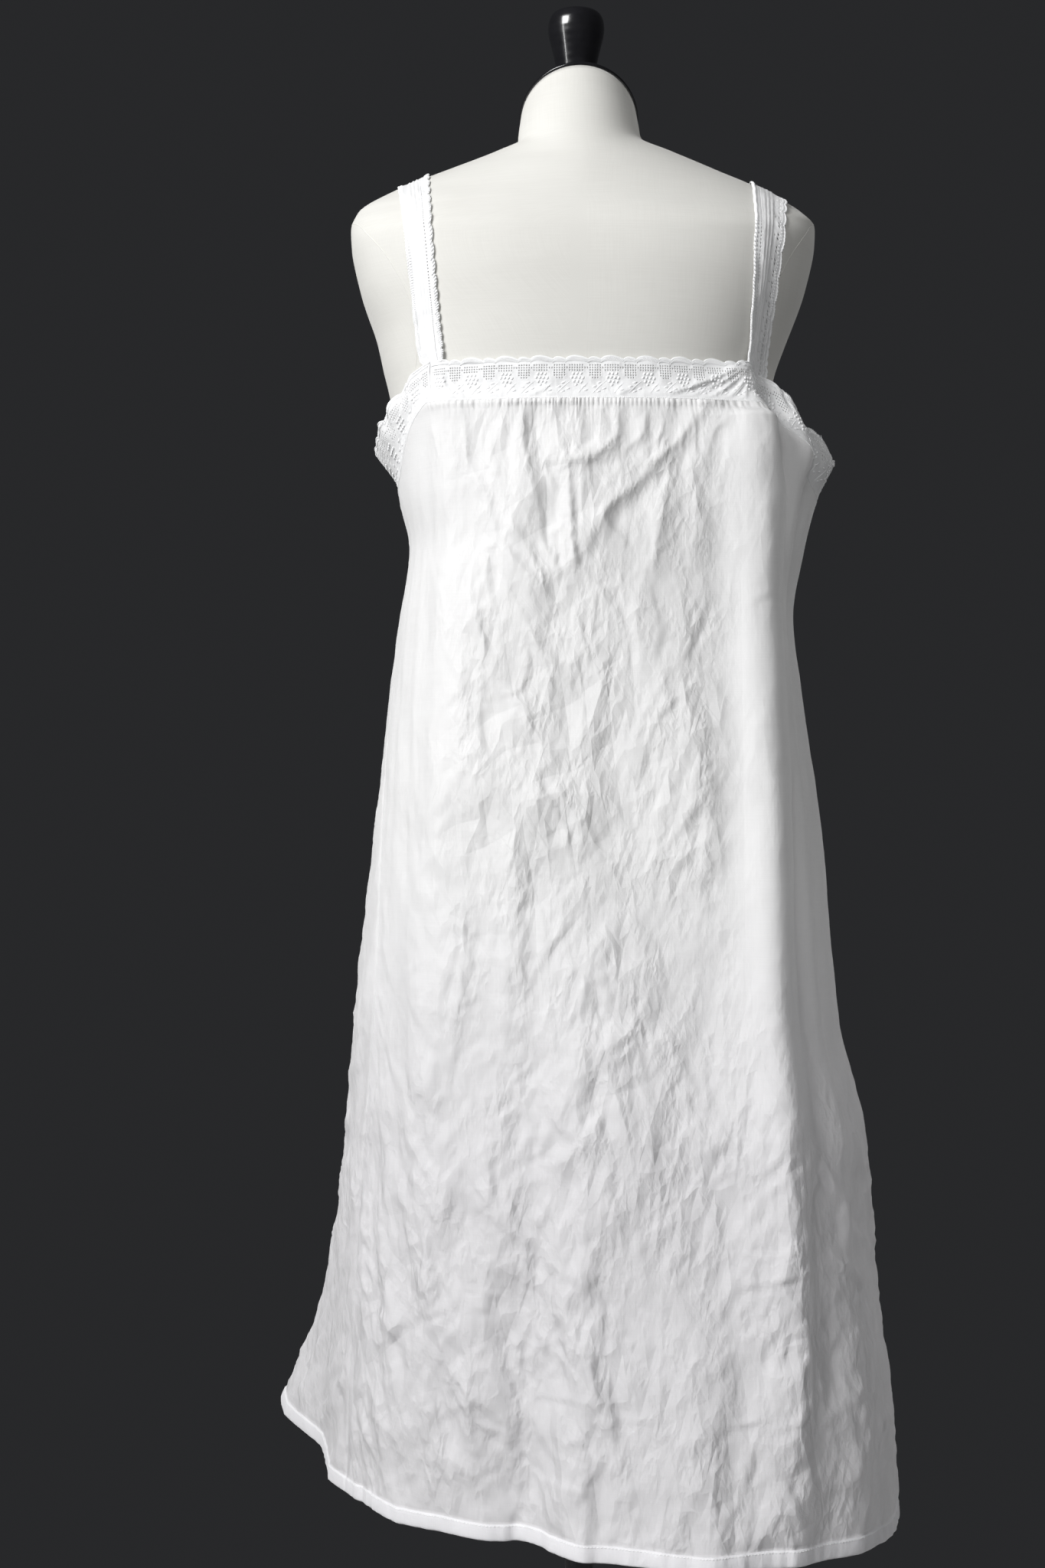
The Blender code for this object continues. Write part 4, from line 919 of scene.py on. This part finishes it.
def makeForm():
    levels = np.arange((len(form["rings"]) - 1) * form["perRing"] + 1) / form["perRing"]
    rings = np.array([formRing(level, form["around"]) for level in levels])
    # roll both ends in and close them
    foot, top = rings[0], rings[-1]
    footMiddle, topMiddle = foot.mean(0), top.mean(0)
    under = [footMiddle + (foot - footMiddle) * share for share in form["footShares"]]
    rings = np.concatenate((under, rings, [topMiddle + (top - topMiddle) * form["topShare"]]))
    points, faces = closedRings(rings, footMiddle, topMiddle)
    run = np.linalg.norm(np.diff(rings, axis=1, append=rings[:, :1]), axis=-1)
    around = np.concatenate((np.zeros((len(rings), 1)), np.cumsum(run, axis=1)[:, :-1]), axis=1)
    uv = np.vstack((pairs(around, rings[..., 2]), [(0, 0.8), (0, 1.5)]))
    surface = BVHTree.FromPolygons(points.tolist(), faces[0].tolist())
    newPiece("formTorso", points, faces, canvas, "form_canvas", uv, "form_torso")
    return surface


formSurface = makeForm()


# Lace edging

edging = {
    "height": 35.0,  # mm, from the seam to the free edge
    "repeat": 30.8, "columns": 14,  # mm and hole columns to a repeat
    "holeRows": 6, "holeTop": 28.8,  # the top of the first row of holes, in mm above the seam
    "thickness": 0.55,  # mm
    "holeShare": 0.45,  # of a cell
    "raise": 0.22,  # mm, the rounded bars between the holes
    "ripple": 0.8,  # mm
    "scallops": [(0.0, 0.36, 2.3), (0.36, 1.0, 3.3)],  # start and end in a repeat, rise in mm
    "cordRadius": 0.85,
    "ruffle": 6.0,  # mm, how far the free edge round an armhole waves
    "flare": 12.0,  # mm, how far the edge stands out under the left arm
    "clear": 1.5, "settle": 4.6,  # mm, how near the strips lie to the form, and the most that they sink
    # rows of holes by column, from the top row down
    "pattern": ["11111011111100", "11111111111111", "11111011111100", "11111000000000", "11111000000000",
                "01110000000000"],
    # raised satin stitches: places in a repeat and above the seam, then how they slant along and up,
    # then half length, half width and height, all in mm
    "dotPlaces": [(17.2, 20.6), (20.5, 20.6), (23.8, 20.4), (15.9, 17.4), (19.2, 17.4), (22.5, 17.2),
                  (25.7, 16.8), (17.8, 14.2), (21.1, 14.0), (24.2, 13.5), (19.6, 11.0)],
    "dotSlant": (0.7, 1.0), "dotSize": (1.5, 1.1, 0.8),
    "leafPlaces": [(4.6, 9.4), (8.6, 13.0), (12.6, 7.6), (26.0, 9.8), (27.6, 6.2), (8.0, 5.2)],
    "leafSlant": (1.0, 0.35), "leafSize": (2.1, 0.85, 0.6),
    "stems": [(3.0, 3.6, 15.0, 14.6), (21.4, 3.6, 29.6, 12.6)], "stemRadius": 0.34,  # starts and ends
    "barPitch": 1.05,  # mm, of the satin bars beside the rolled edge
}


def latticeMesh(columns, rows, holes, place, thickness, holeShare, raiseBars):
    # a strip of cloth on a lattice of half cells, with round holes cut through some of the cells.
    # place(u, v, out) puts lattice points, in cells, on the garment.
    wide, tall = 2 * columns + 1, 2 * rows + 1
    i, j = np.meshgrid(np.arange(tall), np.arange(wide), indexing="ij")
    nearHole = np.zeros((tall, wide), bool)
    cells = np.argwhere(holes)
    for row, column in cells:
        nearHole[2 * row : 2 * row + 3, 2 * column : 2 * column + 3] = True
    layer = wide * tall
    quads = gridQuads(tall, wide)
    cellRow, cellColumn = np.divmod(np.arange(len(quads)), wide - 1)
    kept = quads[~holes[cellRow // 2, cellColumn // 2]]
    faces = [kept[:, ::-1], kept + layer]
    # round each hole: eight corners of its cell, then three rings of eight points
    ring = np.array([(-1, -1), (-1, 0), (-1, 1), (0, 1), (1, 1), (1, 0), (1, -1), (0, -1)])
    direction = unit(ring)
    layers = [(j / 2, i / 2, raiseBars * nearHole), (j / 2, i / 2, 0.0 * j - thickness)]
    for reach, out in ((0.12, raiseBars), (0, -0.2 * thickness), (0, -0.85 * thickness)):
        u, v = (cells[:, k, None] + 0.5 + direction[None, :, k] * (holeShare / 2 + reach) for k in (1, 0))
        layers.append((u, v, np.full(u.shape, out)))
    points = np.vstack([place(*spots).reshape(-1, 3) for spots in layers])
    uv = np.vstack([pairs(u, v) for u, v, _ in layers])
    cornerRow, cornerColumn = (2 * cells[:, k, None] + 1 + ring[None, :, k] for k in (0, 1))
    corner = cornerRow * wide + cornerColumn
    count = len(cells) * 8
    middle, front, back = (2 * layer + k * count + np.arange(count).reshape(-1, 8) for k in range(3))
    for a, b in ((corner, middle), (middle, front), (front, back), (back, layer + corner)):
        aNext, bNext = np.roll(a, -1, axis=1), np.roll(b, -1, axis=1)
        faces.append(np.stack((a, b, bNext, aNext), -1).reshape(-1, 4)[:, ::-1])
    # walls round the edge of the strip
    edge = np.concatenate((
        np.arange(wide), wide - 1 + wide * np.arange(1, tall),
        layer - 2 - np.arange(wide - 1), wide * np.arange(tall - 2, 0, -1)))
    after = np.roll(edge, -1)
    faces.append(np.stack((edge, after, after + layer, edge + layer), -1))
    return points, faces, uv


def measureRoom():
    # how far the lace can lie in towards the form, in mm, round the top of the dress
    angles = np.arange(-180.0, 181.0, 3.0)
    room = []
    for angle in angles:
        spots = [dressPoint(angle, rimHeight(angle, "edge") - drop * mm) for drop in (1, 9, 18)]
        nearest = min(formSurface.find_nearest(Vector(spot))[3] for spot in spots) / mm
        room.append(np.clip(nearest - edging["clear"] - edging["thickness"], 0, edging["settle"]))
    away = np.abs(angles)
    straight = np.where(away < 95, smooth(74, 62, away), smooth(112, 122, away))
    return angles, np.array(room) * straight


roomAngles, roomDepths = measureRoom()


def settled(angle):
    return np.interp(wrapped(angle), roomAngles, roomDepths)


def makeEdging(name, node, start, end, creases, facing):
    dense = np.linspace(start, end, 900)
    middle = (rimHeight(dense, "seam") + rimHeight(dense, "edge")) / 2
    run = np.linalg.norm(np.diff(dressPoint(dense, middle), axis=0), axis=1)
    walked = np.concatenate(([0], np.cumsum(run)))
    length = walked[-1] / mm
    repeat, holeTop, holeRows = edging["columns"], edging["holeTop"], edging["holeRows"]
    repeats = max(1, round(length / edging["repeat"]))
    columns = repeats * repeat
    cell = length / columns
    lowRows = int(round((holeTop - holeRows * cell) / cell))
    heights = np.concatenate((
        np.linspace(0, holeTop - holeRows * cell, 2 * lowRows + 1),
        holeTop - cell * (holeRows - 0.5 * np.arange(1, 2 * holeRows + 1)),
        holeTop + (edging["height"] - holeTop) * np.array((0.25, 0.5, 0.8, 1.0))))
    rows = lowRows + holeRows + 2
    holes = np.zeros((rows, columns), bool)
    for row, text in enumerate(edging["pattern"]):
        for column in range(1, columns - 1):
            holes[rows - 3 - row, column] = text[(column + 4) % repeat] == "1"
    armhole = "Armhole" in name

    def angleAt(u):
        return np.interp(u / columns * walked[-1], walked, np.clip(dense, start + 0.06, end - 0.06))

    def clearOfStraps(u):
        angle, clear = wrapped(angleAt(u)), 1.0
        for feet in dress["strapFeet"].values():
            for first, second in feet:
                away = np.abs(angle - (first + second) / 2) - abs(first - second) / 2
                clear = clear * (1 - smooth(2.5, 0.5, away))
        return clear

    def scallop(u):
        share = (u + 4) / repeat % 1
        rise = np.zeros(np.shape(u))
        for begin, finish, high in edging["scallops"]:
            t = np.clip((share - begin) / (finish - begin), 0, 1)
            inside = (share >= begin) & (share <= finish)
            rise = np.where(inside, high * np.sin(np.pi * t**0.7) ** 0.75, rise)
        return rise * clearOfStraps(u)

    def place(u, v, out):
        angle = angleAt(u)
        height = np.interp(v * 2, np.arange(len(heights)), heights)
        over = smooth(holeTop, edging["height"], height)
        height = height + over * (scallop(u) - 3.0 * clearOfStraps(u))
        seam, edge = rimHeight(angle, "seam"), rimHeight(angle, "edge")
        z = seam + (edge - seam) * height / edging["height"]
        relief = 0
        if creases:
            x = facing * dressPoint(angle, z)[..., 0] / mm
            relief = creaseRelief(creases, x, z / mm) * smooth(0, 6, height)
        ripple = edging["ripple"] * (noise(u / 5, v / 7, 77) - 0.5 + facets(u / 4.3, v / 3.1, 78))
        relief = relief + ripple * smooth(0, 4, height) * (1 - 0.6 * over)
        if armhole:
            stand = smooth(14, 38, height) * clearOfStraps(u)
            relief = relief + stand * edging["ruffle"] * (noise(u / 4.3, 0 * v, 79) - 0.6)
            relief = relief + edging["flare"] * bell(wrapped(angle) + 84, 19) * smooth(6, 31, height)
        relief = relief - settled(angle) * smooth(0, 12, height)
        return dressPoint(angle, z, (out + relief) * mm)

    points, faces, uv = latticeMesh(
        columns, rows, holes, place, edging["thickness"], edging["holeShare"], edging["raise"])
    piece = newPiece(name, points, faces, lace, "white_lace", uv * cell * mm, node)

    def at(s, t, out=0.0):
        # a place s mm along and t mm up the strip
        v = np.interp(t, heights, np.arange(len(heights)) / 2)
        return place(s / cell, v, np.full(np.shape(s), out))

    def outward(s, t):
        return unit(at(s, t, 1.0) - at(s, t))

    def cord(s, t, radius, sides, out=0.0):
        parts.append(tube(at(s, t, out), radius * mm, sides, outward(s, t)))

    def stitch(s, t, slant, size, *detail, shift=0.0):
        # satin stitches at s and t, slanting along and up, all in mm
        ahead = at(s + slant[0], t + slant[1]) - at(s, t)
        parts.append(blobs(at(s, t + shift, -0.05), ahead, outward(s, t), np.multiply(size, mm), *detail))

    # dots, leaves and stems of the pattern
    parts = []
    starts = (np.arange(repeats + 1) * repeat - 4) * cell
    scale = cell * repeat / edging["repeat"]
    for kind in ("dot", "leaf"):
        s, t = np.array([(first + x * scale, y) for first in starts for x, y in edging[kind + "Places"]]).T
        inside = (s > 2.5) & (s < length - 2.5)
        stitch(s[inside], t[inside], edging[kind + "Slant"], edging[kind + "Size"])
    along = np.linspace(0, 1, 7)
    for first in starts:
        for s0, t0, s1, t1 in edging["stems"]:
            s = first + (s0 + (s1 - s0) * along) * scale
            if s.min() >= 2 and s.max() <= length - 2:
                t = t0 + (t1 - t0) * along + 0.6 * np.sin(np.pi * along)
                cord(s, t, edging["stemRadius"] * np.sin(np.pi * (0.06 + 0.88 * along)) ** 0.5, 6)

    # the rolled edge, with slanting satin bars between it and the holes
    line = np.linspace(0.6, length - 0.6, int(length / 0.42))
    twist = 1 + 0.14 * np.sin(2 * np.pi * line / 1.15)
    cord(line, 0 * line + edging["height"], edging["cordRadius"] * twist, 8, 0.15 - edging["thickness"] / 2)
    s = np.arange(2.0, length - 2.0, edging["barPitch"])
    rise = scallop(s / cell)
    size = np.stack((1.7 + 0.62 * rise, 0 * s + 0.46, 0 * s + 0.75), axis=1)
    stitch(s, holeTop + 3.7 + 0 * s, (0.9, 1.6), size, 6, 2, shift=0.3 * rise)
    # the seam under the lace, and the seams at the ends of the straight strips
    gather = 1 + 0.25 * np.sin(2 * np.pi * line / 1.7)
    cord(line, 0 * line, (0.32 if armhole else 0.5) * gather, 6)
    if not armhole:
        up = np.linspace(0.3, edging["height"] - 0.5, 50)
        for s in (0.15, length - 0.15):
            cord(np.full(up.shape, s), up, 0.55 * (1 + 0.2 * np.sin(up * 3.4)), 6, 0.1)
    stitching = newPiece(name + "Stitching", *joined(parts), thread, "white_lace")
    return piece, stitching, walked[-1]


# diagonal creases that the straps pull into the ends of the back edging
bandCreases = [
    (3.6, 2.3, 0.8, (70, 1223), (104, 1236), (133, 1250)),
    (3.2, 2.1, 0.8, (90, 1223), (115, 1235), (136, 1248)),
    (3.0, 2.0, 0.8, (106, 1222), (123, 1233), (138, 1246)),
    (3.0, 1.8, 0.7, (122, 1222), (133, 1233), (140, 1244)),
    (3.0, 1.3, 0.6, (136, 1221), (142, 1240)),
    (3.0, 1.3, 0.6, (-121, 1244), (-114, 1231), (-106, 1222)),
    (3.0, 1.1, 0.6, (-111, 1236), (-99, 1223)),
    (3.0, 0.9, 0.5, (-44, 1222), (-30, 1229)),
    (3.0, 0.9, 0.5, (28, 1222), (46, 1231)),
]
for name, node, start, end, creases, facing in (
    ("backLace", "band_back", *dress["backEnds"], bandCreases, 1),
    ("frontLace", "band_front", *dress["frontEnds"], [], -1),
    ("rightArmholeLace", "armhole_right", dress["backEnds"][1], dress["frontEnds"][0], [], 1),
    ("leftArmholeLace", "armhole_left", dress["frontEnds"][1], dress["backEnds"][0] + 360, [], 1),
):
    makeEdging(name, node, start, end, creases, facing)


def turned(name, node, profile, segments, material, slotName,
           centre=(0, 0, 0), tilt=0.0, oval=1.0, footSlope=0.0):
    # a solid turned from (radius, height) rows; footSlope sets its foot on a slope
    placed = Matrix.Translation(centre) @ Matrix.Rotation(tilt, 4, "X")
    rings = []
    for radius, height in profile:
        slope = footSlope * max(0.0, 1 - height / 0.02)
        rings.append([
            placed @ Vector((radius * math.cos(a), radius * oval * math.sin(a),
                             height + slope * radius * oval * math.sin(a)))
            for a in turns(segments)])
    rings = np.array(rings)
    points, faces = closedRings(rings, rings[0].mean(0), rings[-1].mean(0))
    return newPiece(name, points, faces, material, slotName, node=node)


formSeams = {
    # rounded ovals where the covers of the arm plates are sewn in: middle and half sizes in y and z
    "middle": (-0.003, 1.297), "halfHeight": 0.092, "halfLeft": 0.0770, "halfRight": 0.0705,
    "squareness": 2.4, "radius": 0.0007, "sunk": 0.00035,
}


def makeFormSeams():
    parts = []
    square = formSeams["squareness"]
    for side, half in ((-1, formSeams["halfLeft"]), (1, formSeams["halfRight"])):
        path, normals = [], []
        for a in (*turns(160), 2 * np.pi):
            reach = (abs(math.cos(a)) ** square + abs(math.sin(a)) ** square) ** (-1 / square)
            y = formSeams["middle"][0] + half * reach * math.cos(a)
            z = formSeams["middle"][1] + formSeams["halfHeight"] * reach * math.sin(a)
            hit, normal, _, _ = formSurface.ray_cast(Vector((side * 0.4, y, z)), Vector((-side, 0, 0)))
            path.append(hit)
            normals.append(normal if normal.x * side > 0 else -normal)
        path, normals = np.array(path), np.array(normals)
        parts.append(tube(path - normals * formSeams["sunk"], formSeams["radius"], 6, normals))
    points, faces = joined(parts)
    newPiece("formSeams", points, faces, canvas, "form_canvas", points[:, 1:])


makeFormSeams()

finial = {
    "capRadius": 0.0530, "capRim": 0.003, "capDome": 0.007,
    "knobX": -0.002, "knobTop": 1.5905,
    # radius in m, share of the knob's height
    "knob": [(0.0172, 0), (0.0168, 0.2), (0.0167, 0.35), (0.0173, 0.422), (0.0192, 0.528), (0.0219, 0.65),
             (0.0246, 0.77), (0.0252, 0.825), (0.0249, 0.875), (0.0235, 0.93), (0.0205, 0.972), (0.015, 0.993),
             (0.008, 1)],
}


def makeFinial():
    half, _, yBack, yFront, _, zBack, zFront, _ = form["rings"][-1]
    tilt = math.atan2(zFront - zBack, yFront - yBack)
    seat = Vector((0, (yFront + yBack) / 2, (zFront + zBack) / 2))
    lean = Vector((0, -math.sin(tilt), math.cos(tilt)))
    oval = math.hypot(zFront - zBack, yFront - yBack) / (2 * half)
    radius, rim, dome = finial["capRadius"], finial["capRim"], finial["capDome"]
    cap = [(radius - 0.0006, 0.0), (radius, 0.0005), (radius, rim - 0.0008), (radius - 0.0006, rim)]
    cap += [(radius * share, rim + dome * (1 - share**2)) for share in np.linspace(0.97, 0.45, 12)]
    turned("neckCap", "neck_cap", cap, 96, lacquer, "black_lacquer", seat + lean * 0.3 * mm, tilt, oval)
    foot = seat + lean * (0.6 * mm + cap[-1][1]) + Vector((finial["knobX"], 0, 0))
    height = finial["knobTop"] - foot.z
    rows = np.array(finial["knob"])
    shares = np.concatenate((np.linspace(0, 0.93, 40), 1 - 0.07 * (1 - np.linspace(0, 1, 14)[1:]) ** 2))
    shape = [(float(flow(share, rows[:, 1], rows[:, 0])), height * share) for share in shares]
    turned("neckKnob", "neck_knob", shape, 72, lacquer, "black_lacquer", foot, footSlope=math.tan(tilt))


stand = {
    "base": [(0.204, 0), (0.2048, 0.0003), (0.205, 0.001), (0.205, 0.007), (0.2042, 0.0092), (0.201, 0.01),
             (0.12, 0.016), (0.04, 0.0215), (0.036, 0.022), (0.03, 0.0243), (0.0268, 0.0272), (0.026, 0.03),
             (0.026, 0.073), (0.0256, 0.0743), (0.024, 0.075)],
    "poleRadius": 0.0125, "poleTop": 0.8147, "poleFoot": 0.0753,
}


def makeStand():
    turned("standBase", "stand_base", stand["base"], 128, metal, "stand_metal")
    radius, foot, top = stand["poleRadius"], stand["poleFoot"], stand["poleTop"]
    pole = [(radius - 0.0004, foot), (radius, foot + 0.0006)]
    pole += [(radius, z) for z in np.linspace(foot + 0.01, top - 0.01, 30)]
    pole += [(radius, top - 0.0006), (radius - 0.0004, top)]
    turned("standPole", "stand_pole", pole, 64, metal, "stand_metal")


makeFinial()
makeStand()
print("form ready")


# Straps

strap = {
    # top: x of the neck side and the armhole side on the shoulder, in m; width: share of the way to the
    # front foot, share of the full width; neckWave and armWave: scallops in mm
    "left": {
        "node": "strap_left", "top": (-0.1330, -0.1590),
        "width": [(0.0, 0.66), (0.05, 0.84), (0.30, 0.84), (0.46, 0.92), (0.60, 0.96), (1.0, 0.98)],
        "neckWave": 2.2, "neckPitch": 11.0, "armWave": 0.5, "openwork": False,
    },
    "right": {
        "node": "strap_right", "top": (0.1490, 0.1780),
        "width": [(0.0, 0.92), (0.10, 0.90), (0.30, 0.90), (0.46, 0.94), (0.60, 0.97), (1.0, 0.98)],
        "neckWave": 0.8, "neckPitch": 13.0, "armWave": 2.2, "openwork": True,
    },
    "lift": 0.5, "thickness": 1.0, "least": 0.6,  # mm
    "sewnBelow": 3.5,  # mm, from the lace's free edge
    "shoulderShare": 0.45, "liftShare": 0.14,
    "lines": 9, "steps": 160,  # of the surface that the strap is read from
    "columns": 192, "rows": 11,  # cells along and across
    "holeShare": 0.40, "armPitch": 14.0,
    "tucks": (4.0, 5.5, 7.0), "tuckHeight": 0.9,
    # satin stitches: place across in cells, pitch and size in mm, slant in cells. A rope on the neck side,
    # picots and bars on the armhole side, and bars beside the ladder stitch
    "stitchRows": [(0.45, 2.6, (2.4, 0.95, 1.25), 0.28), (11.1, 1.9, (0.95, 0.65, 0.6), -0.2),
                   (10.25, 1.8, (1.6, 0.55, 0.6), -0.25), (3.05, 1.9, (0.55, 0.5, 0.35), 0.2)],
}


def laidOver(x, middleZ):
    hits, normals = np.zeros((len(x), 3)), np.zeros((len(x), 3))
    for i, swing in enumerate(np.linspace(0, math.pi, len(x))):
        away = Vector((0, -math.cos(swing), math.sin(swing)))
        hit, normal, _, _ = formSurface.ray_cast(Vector((x[i], 0, middleZ[i])) + away, -away)
        hits[i] = hit
        normals[i] = normal if normal.dot(away) > 0 else -normal
    return hits, normals


def strapLine(side, line):
    (backInner, backOuter), (frontInner, frontOuter) = dress["strapFeet"][side]
    topInner, topOuter = strap[side]["top"]
    share = np.arange(strap["steps"] + 1) / strap["steps"]
    feet = (backInner + line * (backOuter - backInner), frontInner + line * (frontOuter - frontInner))
    start, end = (
        dressPoint(angle, rimHeight(angle, "edge") - strap["sewnBelow"] * mm, (0.6 - settled(angle)) * mm)
        for angle in feet)
    foot = np.where(share[:, None] < strap["shoulderShare"], start, end)
    topX = topInner + line * (topOuter - topInner)
    middleZ = start[2] + (end[2] - start[2]) * share
    x = np.interp(share, (0, strap["shoulderShare"], 1), (start[0], topX, end[0]))
    for _ in range(3):
        height = laidOver(x, middleZ)[0][:, 2]
        climbed = np.clip((height - foot[:, 2]) / (height.max() - foot[:, 2]), 0, 1)
        x = foot[:, 0] + (topX - foot[:, 0]) * climbed
    hits, normals = laidOver(x, middleZ)
    lifted = hits.copy()
    for foot, k, away in ((start, 0, share), (end, -1, 1 - share)):
        near = np.clip(1 - away / strap["liftShare"], 0, 1)[:, None] ** 2
        lifted += (foot - hits[k] - normals[k] * (strap["lift"] + strap["thickness"]) * mm) * near
    return lifted, normals


def makeStrap(side, seed):
    spec, columns, rows, steps = strap[side], strap["columns"], strap["rows"], strap["steps"]
    lines = np.linspace(0, 1, strap["lines"])
    base, normals = (np.array(part) for part in zip(*(strapLine(side, line) for line in lines)))
    run = np.linalg.norm(np.diff(base[len(lines) // 2], axis=0), axis=1).sum()
    cell = run / mm / columns
    neckPitch, armPitch = spec["neckPitch"] / cell, strap["armPitch"] / cell

    def sample(grid, u, v):
        # bilinear reading, u along in cells and v across in cells
        a = np.clip(u / columns, 0, 1) * steps
        b = np.clip(v / rows * flow(u / columns, *zip(*spec["width"])), 0, 1) * (len(lines) - 1)
        i, j = np.minimum(a.astype(int), steps - 1), np.minimum(b.astype(int), len(lines) - 2)
        s, t = (a - i)[..., None], (b - j)[..., None]
        return (grid[j, i] * (1 - s) * (1 - t) + grid[j, i + 1] * s * (1 - t)
                + grid[j + 1, i] * (1 - s) * t + grid[j + 1, i + 1] * s * t)

    def place(u, v, out):
        level = v * 0
        point, normal = sample(base, u, v), unit(sample(normals, u, v))
        across = unit(sample(base, u, level + rows) - sample(base, u, level))
        calm = smooth(2, 10, u) * smooth(columns - 2, columns - 10, u)
        waveIn = spec["neckWave"] * np.abs(np.sin(np.pi * u / neckPitch)) ** 0.6 * smooth(2.4, 0.0, v)
        waveOut = spec["armWave"] * np.abs(np.sin(np.pi * (u / armPitch + 0.3))) ** 0.6
        waveOut = waveOut * smooth(rows - 2.4, rows, v)
        # the plain middle has lengthwise tucks, and the edgings lie a little proud of it
        drift = 0.5 * (noise(u / 22, level, seed + 5) - 0.5)
        tuck = sum(strap["tuckHeight"] * bell(v - at - drift, 0.26) for at in strap["tucks"])
        ripple = 1.3 * (noise(u / 9, v / 6 + 5, seed) - 0.5) + 0.6 * facets(u / 5, v / 3, seed + 6)
        curl = 1.2 * noise(u / 10, level + 2, seed + 3) * smooth(rows - 3, rows, v)
        curl = curl + 0.8 * noise(u / 8, level + 6, seed + 4) * smooth(2.5, 0, v)
        rise = strap["lift"] + strap["thickness"] * 0.6 + (ripple + curl) * calm
        proud = np.maximum(rise, strap["least"]) + tuck + out
        aside = (waveOut - waveIn) * calm
        return point + across * (aside * mm)[..., None] + normal * (proud * mm)[..., None]

    holes = np.zeros((rows, columns), bool)
    for column in range(3, columns - 3):
        holes[2, column] = True  # ladder stitch between the rope and the tucks
        holes[rows - 2, column] = spec["openwork"] and column % 3 != 0
        holes[rows - 3, column] = spec["openwork"] and column % 6 == 1
    points, faces, uv = latticeMesh(columns, rows, holes, place, 0.5, strap["holeShare"], 0.2)
    name = side + "Strap"
    if side == "left":
        faces = [group[:, ::-1] for group in faces]
    piece = newPiece(name, points, faces, lace, "white_lace", uv * cell * mm, spec["node"])

    def outward(u, v):
        return place(u, v, 0 * u + 1) - place(u, v, 0 * u)

    # a cord along each side, then the rows of satin stitches
    parts = []
    u = np.linspace(1.2, columns - 1.2, int(columns * cell / 0.45))
    twist = 1 + 0.3 * np.sin(2 * np.pi * u * cell / 1.7)
    for across, radius in ((0.0, 0.35), (float(rows), 0.5)):
        v = np.full(u.shape, across)
        parts.append(tube(place(u, v, 0 * u - 0.2), radius * mm * twist, 8, outward(u, v)))
    for across, pitch, size, slope in strap["stitchRows"]:
        u = np.arange(2.5, columns - 2.5, pitch / cell)
        v = np.full(u.shape, across)
        slant = place(u + slope, v - 0.4, 0 * u) - place(u, v, 0 * u)
        parts.append(blobs(place(u, v, 0 * u - 0.1), slant, outward(u, v), np.array(size) * mm, 6, 2))
    newPiece(name + "Stitching", *joined(parts), thread, "white_lace")
    return piece, run


leftStrap, leftRun = makeStrap("left", 31)
rightStrap, rightRun = makeStrap("right", 57)
print("straps ready", round(leftRun, 3), round(rightRun, 3))


# Stage

camera = bpy.data.objects.new("camera", bpy.data.cameras.new("camera"))
bpy.context.scene.collection.objects.link(camera)
camera.location = (-0.050, -1.92, 0.90)
camera.rotation_euler = (math.pi / 2, 0, 0)
camera.data.lens = 50
camera.data.sensor_fit = "VERTICAL"
camera.data.sensor_height = 36
camera.data.clip_start = 0.05
bpy.context.scene.camera = camera

studio = {
    "floorRadius": 0.55,
    "floorColour": (0.46, 0.457, 0.45),
    "keyPlace": (-2.3, -2.1, 2.8), "keySize": (1.5, 1.5), "keyPower": 142.0,
    "fillPlace": (0.7, -3.3, 1.9), "fillSize": (2.6, 2.6), "fillPower": 40.0,
    "frontPlace": (-1.5, 3.2, 1.9), "frontSize": (2.4, 2.4), "frontPower": 80.0,
    "sidePlace": (2.4, 2.7, 1.7), "sideSize": (2.0, 2.0), "sidePower": 36.0,
    "gleamPlace": (-2.55, -1.75, 1.25), "gleamSize": (0.16, 1.5), "gleamPower": 14.0,
    "worldColour": (0.021, 0.0215, 0.023),
}


def makeStage():
    radius = studio["floorRadius"]
    rim = [(radius * math.cos(a), radius * math.sin(a), 0) for a in turns(128)]
    mesh = bpy.data.meshes.new("floor")
    mesh.from_pydata(rim, [], [tuple(range(len(rim)))])
    material, tree, shader = newMaterial("paleFloor")
    setInputs(tree, shader, {"Base Color": (*studio["floorColour"], 1), "Roughness": 0.7})
    mesh.materials.append(material)
    floor = bpy.data.objects.new("floor", mesh)
    bpy.context.scene.collection.objects.link(floor)
    for name in ("key", "fill", "front", "side", "gleam"):
        lamp = bpy.data.lights.new(name, "AREA")
        lamp.shape = "RECTANGLE"
        lamp.size, lamp.size_y = studio[name + "Size"]
        lamp.energy = studio[name + "Power"]
        light = bpy.data.objects.new(name, lamp)
        light.location = studio[name + "Place"]
        light.visible_glossy = name in ("key", "gleam")  # only these two show in the lacquer
        aim = Vector((0, 0, 0.9)) - light.location
        light.rotation_euler = aim.to_track_quat("-Z", "Y").to_euler()
        bpy.context.scene.collection.objects.link(light)
    world = bpy.data.worlds.new("studio")
    world.use_nodes = True
    world.node_tree.nodes["Background"].inputs["Color"].default_value = (*studio["worldColour"], 1)
    bpy.context.scene.world = world
    bpy.context.scene.view_settings.view_transform = "Standard"


makeStage()
print("stage ready")
